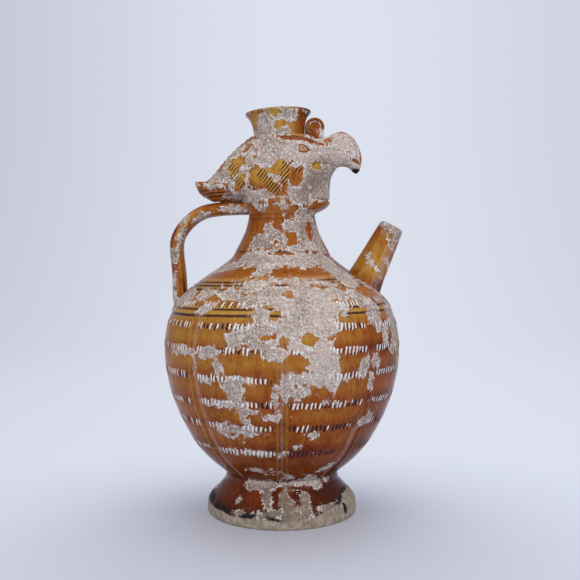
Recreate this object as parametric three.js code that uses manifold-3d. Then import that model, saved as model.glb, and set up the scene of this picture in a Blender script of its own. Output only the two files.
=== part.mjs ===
// Phoenix-head ewer: a lobed, amber-glazed stoneware ewer on a splayed foot.
// Units are millimetres, +Z is up, and the origin is the centre of the foot's base on the
// throwing axis. The beak and the spout point along +X, and the handle is on the -X side.
// Every clay part is its own solid, seated on its neighbour as the potter luted it.

import * as THREE from 'three';
import { mergeVertices } from 'three/addons/utils/BufferGeometryUtils.js';
import Module from 'manifold-3d';

const wasm = await Module();
wasm.setup();

// Driving sizes

const footHeight = 38.8;
const footRadius = 71;
const footWaistRadius = 53.3;
const footEdgeHeight = 10;
const footWall = 9;

const bellyHeight = 151.2;
const bodyRadius = 113.2;
const seamRadius = 105.3;
const shoulderHeight = 50.2;
const bodyWall = 7;
const floorThickness = 9;
const lobeCount = 8;
const lobeGrooveDepth = 1.8;
const lobeSwell = 1.4;

const neckHeight = 42;
const collarRadius = 48.6;
const collarHeight = 5.6;
const collarStep = 2.9;
const neckTopRadius = 31.4;
const neckWall = 6;

const headHeight = 73.8;
const headBack = 41;
const headFront = 41.5;
const headHalfWidth = 36;
const headWall = 7;
const headTopBoreRadius = 17;

const cupHeight = 24;
const cupFootRadius = 24;
const cupRimRadius = 30.2;
const cupWall = 4;
const cupSetBack = 2.4;
const cupLean = THREE.MathUtils.degToRad(3);

const beakLength = 35;
const beakHeight = 40;
const beakHalfWidth = 15;

const curlRadius = 9.2;
const curlWidth = 19;

const wattleThickness = 5.6;

const plumeReach = 82.7;
const plumeHalfWidth = 30;

const eyeLength = 14;
const eyeHeight = 9;
const eyeProud = 2.6;
const browThickness = 2.4;

const handleReach = 99.9;
const handleThickness = 12.6;
const handleWidth = 21;

const spoutLength = 58;
const spoutTipRadius = 11.4;
const spoutFootRadius = 16.6;
const spoutTipBore = 7.6;
const spoutFootBore = 10.5;
const spoutLean = THREE.MathUtils.degToRad(26.6);

const luteGap = 0.3;
const overrun = 20;

// Heights of the joints, from the table up

const bellyBase = footHeight;
const seamLevel = bellyBase + bellyHeight;
const collarLevel = seamLevel + shoulderHeight;
const headBase = collarLevel + neckHeight;
const headTop = headBase + headHeight;

// Materials

const amberGlaze = new THREE.MeshStandardMaterial({ color: 0xa8611c, roughness: 0.3, metalness: 0 });
const brownGlaze = new THREE.MeshStandardMaterial({ color: 0x8a4216, roughness: 0.32, metalness: 0 });
const oliveGlaze = new THREE.MeshStandardMaterial({ color: 0xb08a2c, roughness: 0.35, metalness: 0 });
const wornGlaze = new THREE.MeshStandardMaterial({ color: 0xb5a794, roughness: 0.75, metalness: 0 });

// Solids and geometries

function toSolid(geometry) {
  const bare = geometry.clone();
  bare.deleteAttribute('normal');
  bare.deleteAttribute('uv');
  const merged = mergeVertices(bare);
  return new wasm.Manifold(new wasm.Mesh({
    numProp: 3,
    vertProperties: Float32Array.from(merged.attributes.position.array),
    triVerts: Uint32Array.from(merged.index.array),
  }));
}

function toGeometry(solid) {
  const mesh = solid.getMesh();
  const geometry = new THREE.BufferGeometry();
  geometry.setAttribute('position', new THREE.BufferAttribute(mesh.vertProperties, 3));
  geometry.setIndex(new THREE.BufferAttribute(mesh.triVerts, 1));
  geometry.computeVertexNormals();
  return geometry;
}

// A closed profile of [radius, height] points, turned about Z. The profile runs up the
// outside and down the inside, and it starts and ends on the axis or closes on itself.
function turnedGeometry(profile, segments) {
  const points = profile.map(([radius, height]) => new THREE.Vector2(radius, height));
  const geometry = new THREE.LatheGeometry(points, segments);
  geometry.rotateX(Math.PI / 2);
  return geometry;
}

function turned(profile, segments) {
  return toSolid(turnedGeometry(profile, segments));
}

// The inner side of a wall: each point of an outer profile, moved in square to the wall.
// The two ends stay at their own height, so that the faces at the joints are flat.
function inset(profile, wall) {
  const last = profile.length - 1;
  return profile.map(([radius, height], i) => {
    const [radiusBefore, heightBefore] = profile[Math.max(i - 1, 0)];
    const [radiusAfter, heightAfter] = profile[Math.min(i + 1, last)];
    const run = Math.hypot(radiusAfter - radiusBefore, heightAfter - heightBefore);
    const inward = (heightAfter - heightBefore) / run;
    const upward = (radiusAfter - radiusBefore) / run;
    const atEnd = i === 0 || i === last;
    return [
      radius - (atEnd ? wall : wall * inward),
      height + (atEnd ? 0 : wall * upward),
    ];
  });
}

// A solid skinned over a row of closed rings, each an array of [x, y, z] points.
function skinned(rings) {
  const count = rings[0].length;
  const positions = rings.flat(2);
  const triangles = [];
  for (let i = 0; i < rings.length - 1; i += 1) {
    for (let j = 0; j < count; j += 1) {
      const a = i * count + j;
      const b = i * count + (j + 1) % count;
      triangles.push(a, b, a + count, b, b + count, a + count);
    }
  }
  for (const [ring, flipped] of [[0, true], [rings.length - 1, false]]) {
    const middle = rings[ring]
      .reduce((sum, point) => sum.map((value, k) => value + point[k]), [0, 0, 0])
      .map((value) => value / count);
    const centre = positions.length / 3;
    positions.push(...middle);
    for (let j = 0; j < count; j += 1) {
      const a = ring * count + j;
      const b = ring * count + (j + 1) % count;
      triangles.push(...(flipped ? [centre, b, a] : [centre, a, b]));
    }
  }
  const geometry = new THREE.BufferGeometry();
  geometry.setAttribute('position', new THREE.Float32BufferAttribute(positions, 3));
  geometry.setIndex(triangles);
  return toSolid(geometry);
}

// A point of a superellipse of unit half axes: 2 gives an ellipse, more gives squarer sides.
function roundedPoint(angle, fullness) {
  const soften = (value) => Math.sign(value) * Math.abs(value) ** (2 / fullness);
  return [soften(Math.cos(angle)), soften(Math.sin(angle))];
}

// A body that is thick in the XZ plane and symmetric in Y. Each rib gives its upper and
// lower point in that plane and its half width, and grow makes the whole skin fatter.
function ribbed(ribs, sides, fullness, grow = 0) {
  return skinned(ribs.map(({ upper, lower, half }) => {
    const centre = [(upper[0] + lower[0]) / 2, (upper[1] + lower[1]) / 2];
    const arm = [(upper[0] - lower[0]) / 2, (upper[1] - lower[1]) / 2];
    const stretch = 1 + grow / Math.hypot(...arm);
    return Array.from({ length: sides }, (_, i) => {
      const [up, across] = roundedPoint(i / sides * 2 * Math.PI, fullness);
      return [
        centre[0] + arm[0] * stretch * up,
        -(half + grow) * across,
        centre[1] + arm[1] * stretch * up,
      ];
    });
  }));
}

// Vessel body

const bodySegments = 48;
const grooveHalfWidth = 0.8;
const grooveDepth = 0.8;

// Shares of the belly's height and of the widest radius. The marked bands of the wall are
// slightly flat between their rows of strokes, so most points stand at a row.
const bellyShares = [
  [0.051, 0.555], [0.101, 0.632], [0.167, 0.713], [0.234, 0.778], [0.306, 0.834],
  [0.380, 0.882], [0.519, 0.9455], [0.662, 0.9885], [0.736, 0.998], [0.813, 1],
  [0.881, 0.9875], [0.945, 0.9685],
];

function bellyOutline() {
  return [
    [footWaistRadius, bellyBase],
    ...bellyShares.map(([height, radius]) => [radius * bodyRadius, bellyBase + height * bellyHeight]),
    [seamRadius, seamLevel],
  ];
}

// Shares of the shoulder's height, and of the way from the seam's radius to the collar's.
const shoulderShares = [
  [0.211, 0.094], [0.36, 0.212], [0.715, 0.616], [0.835, 0.782], [0.94, 0.914],
];
const groovePairShares = [0.034, 0.130];
const grooveTrioShares = [0.470, 0.536, 0.600];

function shoulderOutline() {
  const shares = [[0, 0], ...shoulderShares, [1, 1]];
  return shares.map(([height, drop]) => [
    seamRadius - drop * (seamRadius - collarRadius),
    seamLevel + height * shoulderHeight,
  ]);
}

function radiusAt(outline, height) {
  const i = outline.findIndex(([, level]) => level >= height);
  const [radiusBelow, below] = outline[i - 1];
  const [radiusAbove, above] = outline[i];
  return radiusBelow + (radiusAbove - radiusBelow) * (height - below) / (above - below);
}

// The shoulder's outline with its two groups of incised lines, each a shallow V.
function incisedShoulder() {
  const plain = shoulderOutline();
  const cut = plain.slice();
  for (const share of [...groovePairShares, ...grooveTrioShares]) {
    const level = seamLevel + share * shoulderHeight;
    const edges = [level - grooveHalfWidth, level + grooveHalfWidth];
    cut.push([radiusAt(plain, edges[0]), edges[0]]);
    cut.push([radiusAt(plain, level) - grooveDepth, level]);
    cut.push([radiusAt(plain, edges[1]), edges[1]]);
  }
  return cut.sort((a, b) => a[1] - b[1]);
}

// The filled body, for cutting what is luted on to it.
function bodyCore(grow) {
  const outline = [...bellyOutline(), ...shoulderOutline().slice(1)]
    .map(([radius, height]) => [radius + grow * Math.SQRT2, height]);
  return turned([[0, bellyBase], ...outline, [0, collarLevel]], bodySegments * 2);
}

// The places of the wall's points around one lobe, as shares of the lobe's angle. The
// points crowd at the pressed groove, which is at share 0.
const lobeAngleShares = [0, 0.05, 0.12, 0.26, 0.42, 0.58, 0.74, 0.88, 0.95];
const lobeGrooveShare = 0.055;

// How far the wall is drawn in at a share of the lobe's angle: the lobe is slightly
// rounder than the thrown wall, and a groove is pressed between it and the next one.
function lobeDrop(share) {
  const fromGroove = Math.min(share, 1 - share);
  const pressed = lobeGrooveDepth * Math.exp(-((fromGroove / lobeGrooveShare) ** 2));
  return pressed + lobeSwell * (1 - Math.sin(Math.PI * share));
}

function makeLowerBody() {
  const outline = bellyOutline();
  const innerEnd = [0, bellyBase + floorThickness];
  const inner = inset(outline.filter((_, i) => i % 2 === 0 || i === outline.length - 1), bodyWall)
    .filter(([, height]) => height > innerEnd[1])
    .reverse();
  const floorRadius = inner[inner.length - 1][0] * bodyWall / floorThickness;
  const steps = lobeAngleShares.length;
  const segments = lobeCount * steps;
  const geometry = turnedGeometry(
    [[0, bellyBase], ...outline, ...inner, [floorRadius, innerEnd[1]], innerEnd],
    segments,
  );
  const position = geometry.attributes.position;
  const rows = position.count / (segments + 1);
  for (let i = 0; i < position.count; i += 1) {
    const column = Math.floor(i / rows) % segments;
    const row = i % rows;
    const share = lobeAngleShares[column % steps];
    const angle = (Math.floor(column / steps) + share) / lobeCount * 2 * Math.PI - Math.PI / 2;
    const lobed = row > 1 && row < outline.length;
    const radius = Math.hypot(position.getX(i), position.getY(i)) - (lobed ? lobeDrop(share) : 0);
    position.setX(i, radius * Math.cos(angle));
    position.setY(i, radius * Math.sin(angle));
  }
  return toSolid(geometry);
}

function makeShoulder() {
  const outline = incisedShoulder();
  const inner = inset(shoulderOutline().filter((_, i) => i % 2 === 0), bodyWall).reverse();
  const shell = turned([...outline, ...inner, outline[0]], bodySegments);
  return shell.subtract(spoutBore());
}

function makeFoot() {
  const edge = footEdgeHeight;
  const bevel = edge * 0.2;
  const rise = footHeight - edge;
  const spread = footRadius - footWaistRadius;
  // Shares of the rise above the edge, and of the spread left at that height.
  const sweepShares = [[0, 1], [0.2, 0.83], [0.37, 0.56], [0.555, 0.29], [0.74, 0.05], [1, 0]];
  const sweep = sweepShares.map(([height, left]) => [
    footWaistRadius + left * spread,
    edge + height * rise,
  ]);
  const outer = [[footRadius - bevel, 0], [footRadius, bevel], ...sweep];
  const inner = [
    [footWaistRadius - footWall, footHeight],
    [footWaistRadius - footWall, footHeight - rise * 0.35],
    [footRadius - footWall * 1.5, edge],
    [footRadius - footWall * 1.2, 0],
  ];
  return turned([...outer, ...inner, outer[0]], bodySegments);
}

// Neck

function neckOutline(grow = 0) {
  const rise = neckHeight - collarHeight;
  const throat = collarRadius - collarStep;
  // Shares of the rise above the collar, and of the way from the collar to the top.
  const sweepShares = [[0, 0], [0.2, 0.29], [0.4, 0.55], [0.62, 0.79], [0.82, 0.94], [1, 1]];
  const sweep = sweepShares.map(([height, drawnIn]) => [
    throat - drawnIn * (throat - neckTopRadius) + grow,
    collarLevel + collarHeight + height * rise,
  ]);
  return [
    [collarRadius + grow, collarLevel],
    [collarRadius - collarStep * 0.3 + grow, collarLevel + collarHeight * 0.75],
    ...sweep,
  ];
}

function makeNeck() {
  const outer = neckOutline();
  const inner = inset(outer.filter((_, i) => i % 2 === 1 || i === 0), neckWall).reverse();
  return turned([...outer, ...inner, outer[0]], bodySegments);
}

function neckCore(grow) {
  const outer = neckOutline(grow);
  return turned([[0, collarLevel], ...outer, [0, headBase]], bodySegments);
}

// Head: a thrown bulb, pulled forward at the throat, flat where the cup is luted on

// Shares of the head's height, its reach to the back, its reach to the front and its half width.
const headShares = [
  [0.06, 0.83, 0.83, 0.89], [0.17, 0.93, 0.92, 0.95], [0.36, 0.995, 0.975, 1],
  [0.56, 1, 1, 1], [0.73, 0.93, 0.99, 0.96], [0.87, 0.81, 0.93, 0.86], [0.95, 0.73, 0.85, 0.78],
];
const headTopShares = [0.66, 0.79, 0.71];
const headSides = 36;
const headFullness = 2.15;

function headRings(grow) {
  const rows = [
    [headBase, neckTopRadius, neckTopRadius, neckTopRadius],
    ...headShares.map(([height, back, front, side]) => [
      headBase + height * headHeight, back * headBack, front * headFront, side * headHalfWidth,
    ]),
    [headTop, headTopShares[0] * headBack, headTopShares[1] * headFront, headTopShares[2] * headHalfWidth],
  ];
  return rows.map(([height, back, front, side]) => Array.from({ length: headSides }, (_, i) => {
    const [along, across] = roundedPoint(i / headSides * 2 * Math.PI, headFullness);
    const reach = along < 0 ? back : front;
    return [(reach + grow) * along, (side + grow) * across, height];
  }));
}

function headCore(grow) {
  const rings = headRings(grow);
  return skinned(grow > 0 ? [...rings, rings[rings.length - 1].map(([x, y, z]) => [x, y, z + grow])] : rings);
}

function makeHead() {
  const throat = neckTopRadius - neckWall;
  const hollow = turned([
    [0, headBase - overrun],
    [throat, headBase - overrun],
    [throat, headBase + headHeight * 0.06],
    [headHalfWidth - headWall, headBase + headHeight * 0.3],
    [headHalfWidth - headWall, headBase + headHeight * 0.6],
    [headTopBoreRadius, headTop - headWall],
    [headTopBoreRadius, headTop + overrun],
    [0, headTop + overrun],
  ], headSides);
  return headCore(0).subtract(hollow);
}

// Mouth cup: it leans back a little, and its foot is trimmed level with the head

function leaning(solid) {
  return solid
    .rotate(0, -THREE.MathUtils.radToDeg(cupLean), 0)
    .translate(-cupSetBack, 0, headTop);
}

function aboveHead(solid) {
  return solid.trimByPlane([0, 0, 1], headTop + luteGap);
}

function cupOutline(grow = 0) {
  const flare = cupRimRadius - cupFootRadius;
  // Shares of the cup's height and of its flare.
  const sweepShares = [[0, 0], [0.26, 0.12], [0.52, 0.35], [0.76, 0.68], [0.93, 0.97]];
  return [
    [cupFootRadius + grow, -overrun],
    ...sweepShares.map(([height, out]) => [cupFootRadius + out * flare + grow, height * cupHeight]),
    [cupRimRadius - cupWall * 0.12 + grow, cupHeight],
  ];
}

function makeMouthCup() {
  const outer = cupOutline();
  const lip = cupWall * 0.85;
  const inner = [
    [cupRimRadius - lip, cupHeight],
    [cupRimRadius - cupWall * 1.5, cupHeight * 0.76],
    [cupFootRadius - cupWall * 0.9, cupHeight * 0.4],
    [headTopBoreRadius, cupHeight * 0.12],
    [headTopBoreRadius, -overrun],
  ];
  return aboveHead(leaning(turned([...outer, ...inner, outer[0]], bodySegments * 0.75)));
}

function cupCore(grow) {
  return aboveHead(leaning(turned([[0, -overrun], ...cupOutline(grow), [0, cupHeight]], bodySegments)));
}

// Beak: closed, hooked, and luted on to the front of the head

const beakRoot = headFront;
const beakLow = headBase + headHeight * 0.535;

function beakPoint([out, up]) {
  return [beakRoot + out * beakLength, beakLow + up * beakHeight];
}

// Shares of the beak's length and height for the upper and lower point, and of its half width.
const beakShares = [
  { upper: [-0.22, 0.84], lower: [-0.16, 0.04], half: 1 },
  { upper: [0.02, 0.865], lower: [0.17, 0.04], half: 1 },
  { upper: [0.25, 0.955], lower: [0.34, 0.155], half: 0.96 },
  { upper: [0.47, 0.99], lower: [0.48, 0.165], half: 0.87 },
  { upper: [0.72, 0.87], lower: [0.605, 0.145], half: 0.73 },
  { upper: [0.89, 0.67], lower: [0.68, 0.1], half: 0.58 },
  { upper: [0.985, 0.385], lower: [0.735, 0.05], half: 0.43 },
  { upper: [0.97, 0.185], lower: [0.785, 0.02], half: 0.28 },
  { upper: [0.915, 0.05], lower: [0.845, 0], half: 0.13 },
];
const beakSides = 20;
const beakFullness = 2.4;

function beakSkin(grow) {
  const ribs = beakShares.map(({ upper, lower, half }) => ({
    upper: beakPoint(upper), lower: beakPoint(lower), half: half * beakHalfWidth,
  }));
  return ribbed(ribs, beakSides, beakFullness, grow);
}

function makeBeak() {
  return beakSkin(0).subtract(headCore(luteGap));
}

// Wattle: a slab of clay down the throat, rolled at its lower edge

const wattleSides = 14;
const wattleSpan = THREE.MathUtils.degToRad(46);

// Shares of the throat's height, and of the slab's thickness beyond the head's full reach.
const wattleShares = [
  [0.03, -1.75], [0.085, -0.9], [0.15, -0.05], [0.24, 0.62], [0.3, 0.72], [0.345, 0.46],
  [0.4, 0.68], [0.7, 0.76], [0.9, 0.94], [0.985, 1],
];

function wattleRing(level, thickness) {
  const face = Array.from({ length: wattleSides + 1 }, (_, i) => {
    const share = i / wattleSides * 2 - 1;
    const [along, across] = roundedPoint(share * wattleSpan, headFullness);
    const edge = 0.5 * wattleThickness * share ** 8;
    const proud = thickness - edge;
    return [(headFront + proud) * along, (headHalfWidth + proud) * across, level];
  });
  const root = [face[wattleSides], face[0]].map(([x, y]) => [x / 2, y / 2, level]);
  return [...face, ...root];
}

function makeWattle() {
  return skinned(wattleShares.map(([height, thick]) => wattleRing(
    headBase + height * (beakLow - headBase), thick * wattleThickness,
  )))
    .subtract(headCore(luteGap))
    .subtract(beakSkin(luteGap))
    .subtract(neckCore(luteGap));
}

// Swept-back plume: it covers the back of the head and ends in an upturned point

const plumeBase = headBase + headHeight * 0.18;

// Shares of the reach from the axis and of the height over the plume's base, then of its half width.
const plumeShares = [
  { upper: [0.24, 1.02], lower: [0.24, 0], half: 1 },
  { upper: [0.36, 0.99], lower: [0.38, 0], half: 1 },
  { upper: [0.452, 0.895], lower: [0.47, 0], half: 0.98 },
  { upper: [0.579, 0.74], lower: [0.6, 0], half: 0.9 },
  { upper: [0.684, 0.58], lower: [0.72, 0], half: 0.78 },
  { upper: [0.765, 0.44], lower: [0.81, 0.005], half: 0.64 },
  { upper: [0.85, 0.318], lower: [0.872, 0.045], half: 0.46 },
  { upper: [0.925, 0.307], lower: [0.93, 0.12], half: 0.28 },
  { upper: [0.997, 0.311], lower: [0.99, 0.225], half: 0.09 },
];
const plumeSides = 24;
const plumeFullness = 2.6;

function makePlume() {
  const rise = headTop - plumeBase;
  const point = ([out, up]) => [-out * plumeReach, plumeBase + up * rise];
  const ribs = plumeShares.map(({ upper, lower, half }) => ({
    upper: point(upper), lower: point(lower), half: half * plumeHalfWidth,
  })).reverse();
  return ribbed(ribs, plumeSides, plumeFullness)
    .subtract(headCore(luteGap))
    .subtract(cupCore(luteGap));
}

// Crest curl: a band of clay rolled into a scroll in front of the cup

const curlCentre = [cupFootRadius + curlRadius - cupSetBack + luteGap, headTop + curlRadius * 0.96];
const scrollTurns = 1.6;
const scrollCutRadius = 0.7;

function scrollGroove(side) {
  const steps = 20;
  const inner = curlRadius * 0.16;
  const outer = curlRadius * 0.82;
  const points = Array.from({ length: steps }, (_, i) => {
    const share = i / (steps - 1);
    const angle = share * scrollTurns * 2 * Math.PI;
    const radius = inner + share * (outer - inner);
    return new THREE.Vector3(
      curlCentre[0] - radius * Math.cos(angle),
      side * curlWidth / 2,
      curlCentre[1] + radius * Math.sin(angle),
    );
  });
  const section = new THREE.Shape().absarc(0, 0, scrollCutRadius, 0, Math.PI * 2);
  const path = new THREE.CatmullRomCurve3(points);
  return toSolid(new THREE.ExtrudeGeometry(section, {
    steps, curveSegments: 3, bevelEnabled: false, extrudePath: path,
  }));
}

function makeCurl() {
  const edge = curlRadius * 0.22;
  const outline = new THREE.Shape();
  outline.absarc(0, 0, curlRadius - edge, -Math.PI * 0.32, Math.PI * 1.36);
  outline.lineTo(-curlRadius * 0.3, -curlRadius * 1.1);
  outline.lineTo(curlRadius * 0.52, -curlRadius * 1.1);
  const roll = new THREE.ExtrudeGeometry(outline, {
    depth: curlWidth - edge * 2, curveSegments: 12, bevelThickness: edge, bevelSize: edge, bevelSegments: 2,
  });
  roll.translate(0, 0, -curlWidth / 2 + edge);
  roll.rotateX(Math.PI / 2);
  return toSolid(roll)
    .translate(curlCentre[0], 0, curlCentre[1])
    .subtract(scrollGroove(1))
    .subtract(scrollGroove(-1))
    .subtract(headCore(luteGap))
    .subtract(beakSkin(luteGap))
    .subtract(cupCore(luteGap));
}

// Eyes and brows: small pads of clay, one of each on either side of the head

const eyePlace = [headFront * 0.44, headBase + headHeight * 0.805];

// The half width of the head's skin at a place on its side.
function headSkinAt([x, z]) {
  const rows = headRings(0).map((ring) => {
    const reach = Math.max(...ring.map((point) => point[0]));
    const side = Math.max(...ring.map((point) => point[1]));
    const across = (1 - (x / reach) ** headFullness) ** (1 / headFullness);
    return [side * across, ring[0][2]];
  });
  return radiusAt(rows, z);
}

function makeEye(side) {
  const skin = headSkinAt(eyePlace);
  const ball = new THREE.SphereGeometry(1, 14, 8);
  ball.scale(eyeLength / 2, eyeProud * 2, eyeHeight / 2);
  return toSolid(ball)
    .rotate(0, 0, -side * 24)
    .translate(eyePlace[0], side * (skin - eyeProud), eyePlace[1])
    .subtract(headCore(luteGap));
}

// Shares of the head's front reach and of the brow's height, from the blunt end forward.
const browShares = [[-0.02, 0.1], [0.3, 0.06], [0.62, 0], [0.8, -0.5], [0.86, 0.2], [0.74, 0.9], [0.4, 1], [0, 1]];
const browLevel = headBase + headHeight * 0.91;
const browHeight = headHeight * 0.066;

function makeBrow(side) {
  const corners = browShares.map(([out, up]) => new THREE.Vector2(
    out * headFront, browLevel + up * browHeight,
  ));
  const band = new THREE.ExtrudeGeometry(new THREE.Shape(corners), {
    depth: headHalfWidth * 2, steps: 1, bevelEnabled: false,
  });
  band.rotateX(Math.PI / 2);
  const reach = side > 0 ? headHalfWidth * 2 : 0;
  return toSolid(band)
    .translate(0, reach, 0)
    .intersect(headCore(browThickness + luteGap))
    .subtract(headCore(luteGap))
    .subtract(beakSkin(luteGap))
    .subtract(cupCore(luteGap));
}

// Handle: a pulled strap with two flutes along its outer face

const handleTop = plumeBase - luteGap - handleThickness / 2;
const handleFoot = seamLevel + handleThickness * 0.23;
const handleLanding = seamRadius * 0.845;

// Shares of the way out from the landing to the full reach, and of the handle's height.
const handleRiseShares = [[0, 0], [0.56, 0.063], [0.73, 0.157], [0.78, 0.28], [0.86, 0.414]];
// Shares of the reach and of the handle's height, round the bend and in to the head.
const handleBendShares = [
  [1, 0.543], [0.998, 0.66], [0.972, 0.754], [0.9155, 0.842], [0.839, 0.92], [0.734, 0.975],
  [0.59, 0.99], [0.447, 0.998], [0.334, 1], [0.2, 1],
];

function handlePath() {
  const rise = handleRiseShares.map(([out, up]) => [handleLanding + out * (handleReach - handleLanding), up]);
  const bend = handleBendShares.map(([out, up]) => [out * handleReach, up]);
  return new THREE.CatmullRomCurve3([...rise, ...bend].map(([out, up]) => new THREE.Vector3(
    -out, 0, handleFoot + up * (handleTop - handleFoot),
  )));
}

const handleSteps = 26;
const handleSpread = 0.3;
const handleSpreadShare = 0.16;
const strapFluteShare = 0.12;
const strapShares = [
  [0, 0.5], [0.2, 0.44], [0.3, 0.5 - strapFluteShare], [0.38, 0.44], [0.46, 0.3], [0.5, 0],
];

function strapSection() {
  const quarter = strapShares.map(([across, out]) => [across * handleWidth, out * handleThickness]);
  const left = quarter.slice(1, -1).reverse().map(([across, out]) => [-across, out]);
  const inner = [[-0.44, -0.3], [-0.28, -0.46], [0, -0.5], [0.28, -0.46], [0.44, -0.3]]
    .map(([acrossShare, outShare]) => [acrossShare * handleWidth, outShare * handleThickness]);
  return [...quarter, ...inner.reverse(), [-handleWidth / 2, 0], ...left];
}

function makeHandle() {
  const path = handlePath();
  const section = strapSection();
  const rings = Array.from({ length: handleSteps + 1 }, (_, i) => {
    const share = i / handleSteps;
    const point = path.getPointAt(share);
    const along = path.getTangentAt(share);
    const spread = 1 + handleSpread * Math.exp(-((share / handleSpreadShare) ** 2));
    return section.map(([across, out]) => [
      point.x - along.z * out * spread, -across * spread, point.z + along.x * out * spread,
    ]);
  });
  return skinned(rings)
    .subtract(bodyCore(luteGap))
    .subtract(neckCore(luteGap))
    .subtract(headCore(luteGap));
}

// Spout: a tapered tube on the shoulder, with a luted swelling round its root

const spoutRoot = [seamRadius * 0.755, seamLevel + shoulderHeight * 0.6];

function alongSpout(solid) {
  return solid
    .rotate(0, THREE.MathUtils.radToDeg(spoutLean), 0)
    .translate(spoutRoot[0], 0, spoutRoot[1]);
}

function spoutBore() {
  const bore = spoutTipBore + (spoutFootBore - spoutTipBore) * 0.95;
  return alongSpout(turned([
    [0, -overrun * 2], [bore, -overrun * 2], [bore, overrun], [0, overrun],
  ], bodySegments * 0.5));
}

function makeSpout() {
  const swell = spoutFootRadius * 0.1;
  const round = spoutTipRadius * 0.1;
  const rise = spoutLength;
  const outer = [
    [spoutFootRadius + swell, -overrun],
    [spoutFootRadius + swell, -swell],
    [spoutFootRadius + swell * 0.25, swell * 1.6],
    [spoutFootRadius - (spoutFootRadius - spoutTipRadius) * 0.12, rise * 0.2],
    [spoutTipRadius, rise - round],
    [spoutTipRadius - round, rise],
  ];
  const inner = [[spoutTipBore, rise], [spoutFootBore, 0], [spoutFootBore, -overrun]];
  return alongSpout(turned([...outer, ...inner, outer[0]], bodySegments * 0.5))
    .subtract(bodyCore(luteGap));
}

// Assembly

const ewer = new THREE.Group();
const origin = [0, 0, 0];

// Puts a solid in the group as a named mesh, with its own origin at an anchor point.
function add(name, solid, material, anchor = origin) {
  const [x, y, z] = anchor;
  const mesh = new THREE.Mesh(toGeometry(solid.translate(-x, -y, -z)), material);
  mesh.name = name;
  mesh.position.set(x, y, z);
  ewer.add(mesh);
}

add('foot', makeFoot(), brownGlaze);
add('lower_body', makeLowerBody(), amberGlaze);
add('shoulder', makeShoulder(), amberGlaze);
add('neck', makeNeck(), amberGlaze);
add('head', makeHead(), oliveGlaze);
add('mouth_cup', makeMouthCup(), oliveGlaze, [-cupSetBack, 0, headTop]);
add('beak', makeBeak(), wornGlaze, [beakRoot, 0, beakLow]);
add('wattle', makeWattle(), wornGlaze, [headFront, 0, headBase]);
add('plume', makePlume(), amberGlaze, [-headBack, 0, plumeBase]);
add('crest_curl', makeCurl(), amberGlaze, [curlCentre[0], 0, curlCentre[1]]);
for (const [name, side] of [['right', -1], ['left', 1]]) {
  add(`${name}_eye`, makeEye(side), wornGlaze, [eyePlace[0], side * headSkinAt(eyePlace), eyePlace[1]]);
  add(`${name}_brow`, makeBrow(side), amberGlaze, [0, side * headHalfWidth, browLevel]);
}
add('handle', makeHandle(), amberGlaze, [-handleReach, 0, handleFoot]);
add('spout', makeSpout(), amberGlaze, [spoutRoot[0], 0, spoutRoot[1]]);

export default ewer;
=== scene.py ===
import math

import bpy
import numpy as np
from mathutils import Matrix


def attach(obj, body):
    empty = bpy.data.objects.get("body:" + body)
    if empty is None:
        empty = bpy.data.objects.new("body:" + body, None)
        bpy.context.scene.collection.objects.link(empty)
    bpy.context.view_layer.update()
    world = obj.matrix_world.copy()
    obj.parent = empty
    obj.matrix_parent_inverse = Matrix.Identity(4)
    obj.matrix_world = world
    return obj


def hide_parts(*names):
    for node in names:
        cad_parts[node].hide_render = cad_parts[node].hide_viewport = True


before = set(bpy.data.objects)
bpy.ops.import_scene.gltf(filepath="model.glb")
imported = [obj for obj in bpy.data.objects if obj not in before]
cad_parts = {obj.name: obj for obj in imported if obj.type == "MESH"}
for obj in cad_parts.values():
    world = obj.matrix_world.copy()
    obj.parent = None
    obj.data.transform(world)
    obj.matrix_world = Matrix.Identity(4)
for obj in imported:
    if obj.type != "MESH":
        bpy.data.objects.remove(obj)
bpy.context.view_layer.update()        # the packed clay solids, kept as the fixed frame
mm = 0.001


# Small tools shared by the pieces

def clearSelection():
    if bpy.context.object and bpy.context.object.mode != "OBJECT":
        bpy.ops.object.mode_set(mode="OBJECT")
    bpy.ops.object.select_all(action="DESELECT")


def pickPiece(piece):
    clearSelection()
    piece.select_set(True)
    bpy.context.view_layer.objects.active = piece


def nameNew(name):        # names the primitive that was just added
    piece = bpy.context.object
    piece.name = name
    piece.data.name = name
    return piece


def readVertices(piece, what):        # "co" or "normal", one row for each vertex
    flat = np.zeros(len(piece.data.vertices) * 3)
    piece.data.vertices.foreach_get(what, flat)
    return flat.reshape(-1, 3)


def readPlaces(piece):        # in millimetres
    return readVertices(piece, "co") / mm


def writePlaces(piece, places):
    piece.data.vertices.foreach_set("co", (places * mm).ravel())
    piece.data.update()


def closeMesh(gap):        # merges doubles of the active piece and turns its faces outwards
    bpy.ops.object.mode_set(mode="EDIT")
    bpy.ops.mesh.select_all(action="SELECT")
    bpy.ops.mesh.remove_doubles(threshold=gap)
    bpy.ops.mesh.normals_make_consistent(inside=False)
    bpy.ops.object.mode_set(mode="OBJECT")


def ease(low, high, value):
    share = np.clip((value - low) / (high - low), 0, 1)
    return share * share * (3 - 2 * share)


def bell(gap, width):
    return np.exp(-(gap / width) ** 2)


def addSpots(across, height, spots):        # spots are (gain, place, half width, height, half height)
    return sum(gain * bell(across - where, wide) * bell(height - level, tall)
               for gain, where, wide, level, tall in spots)


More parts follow.
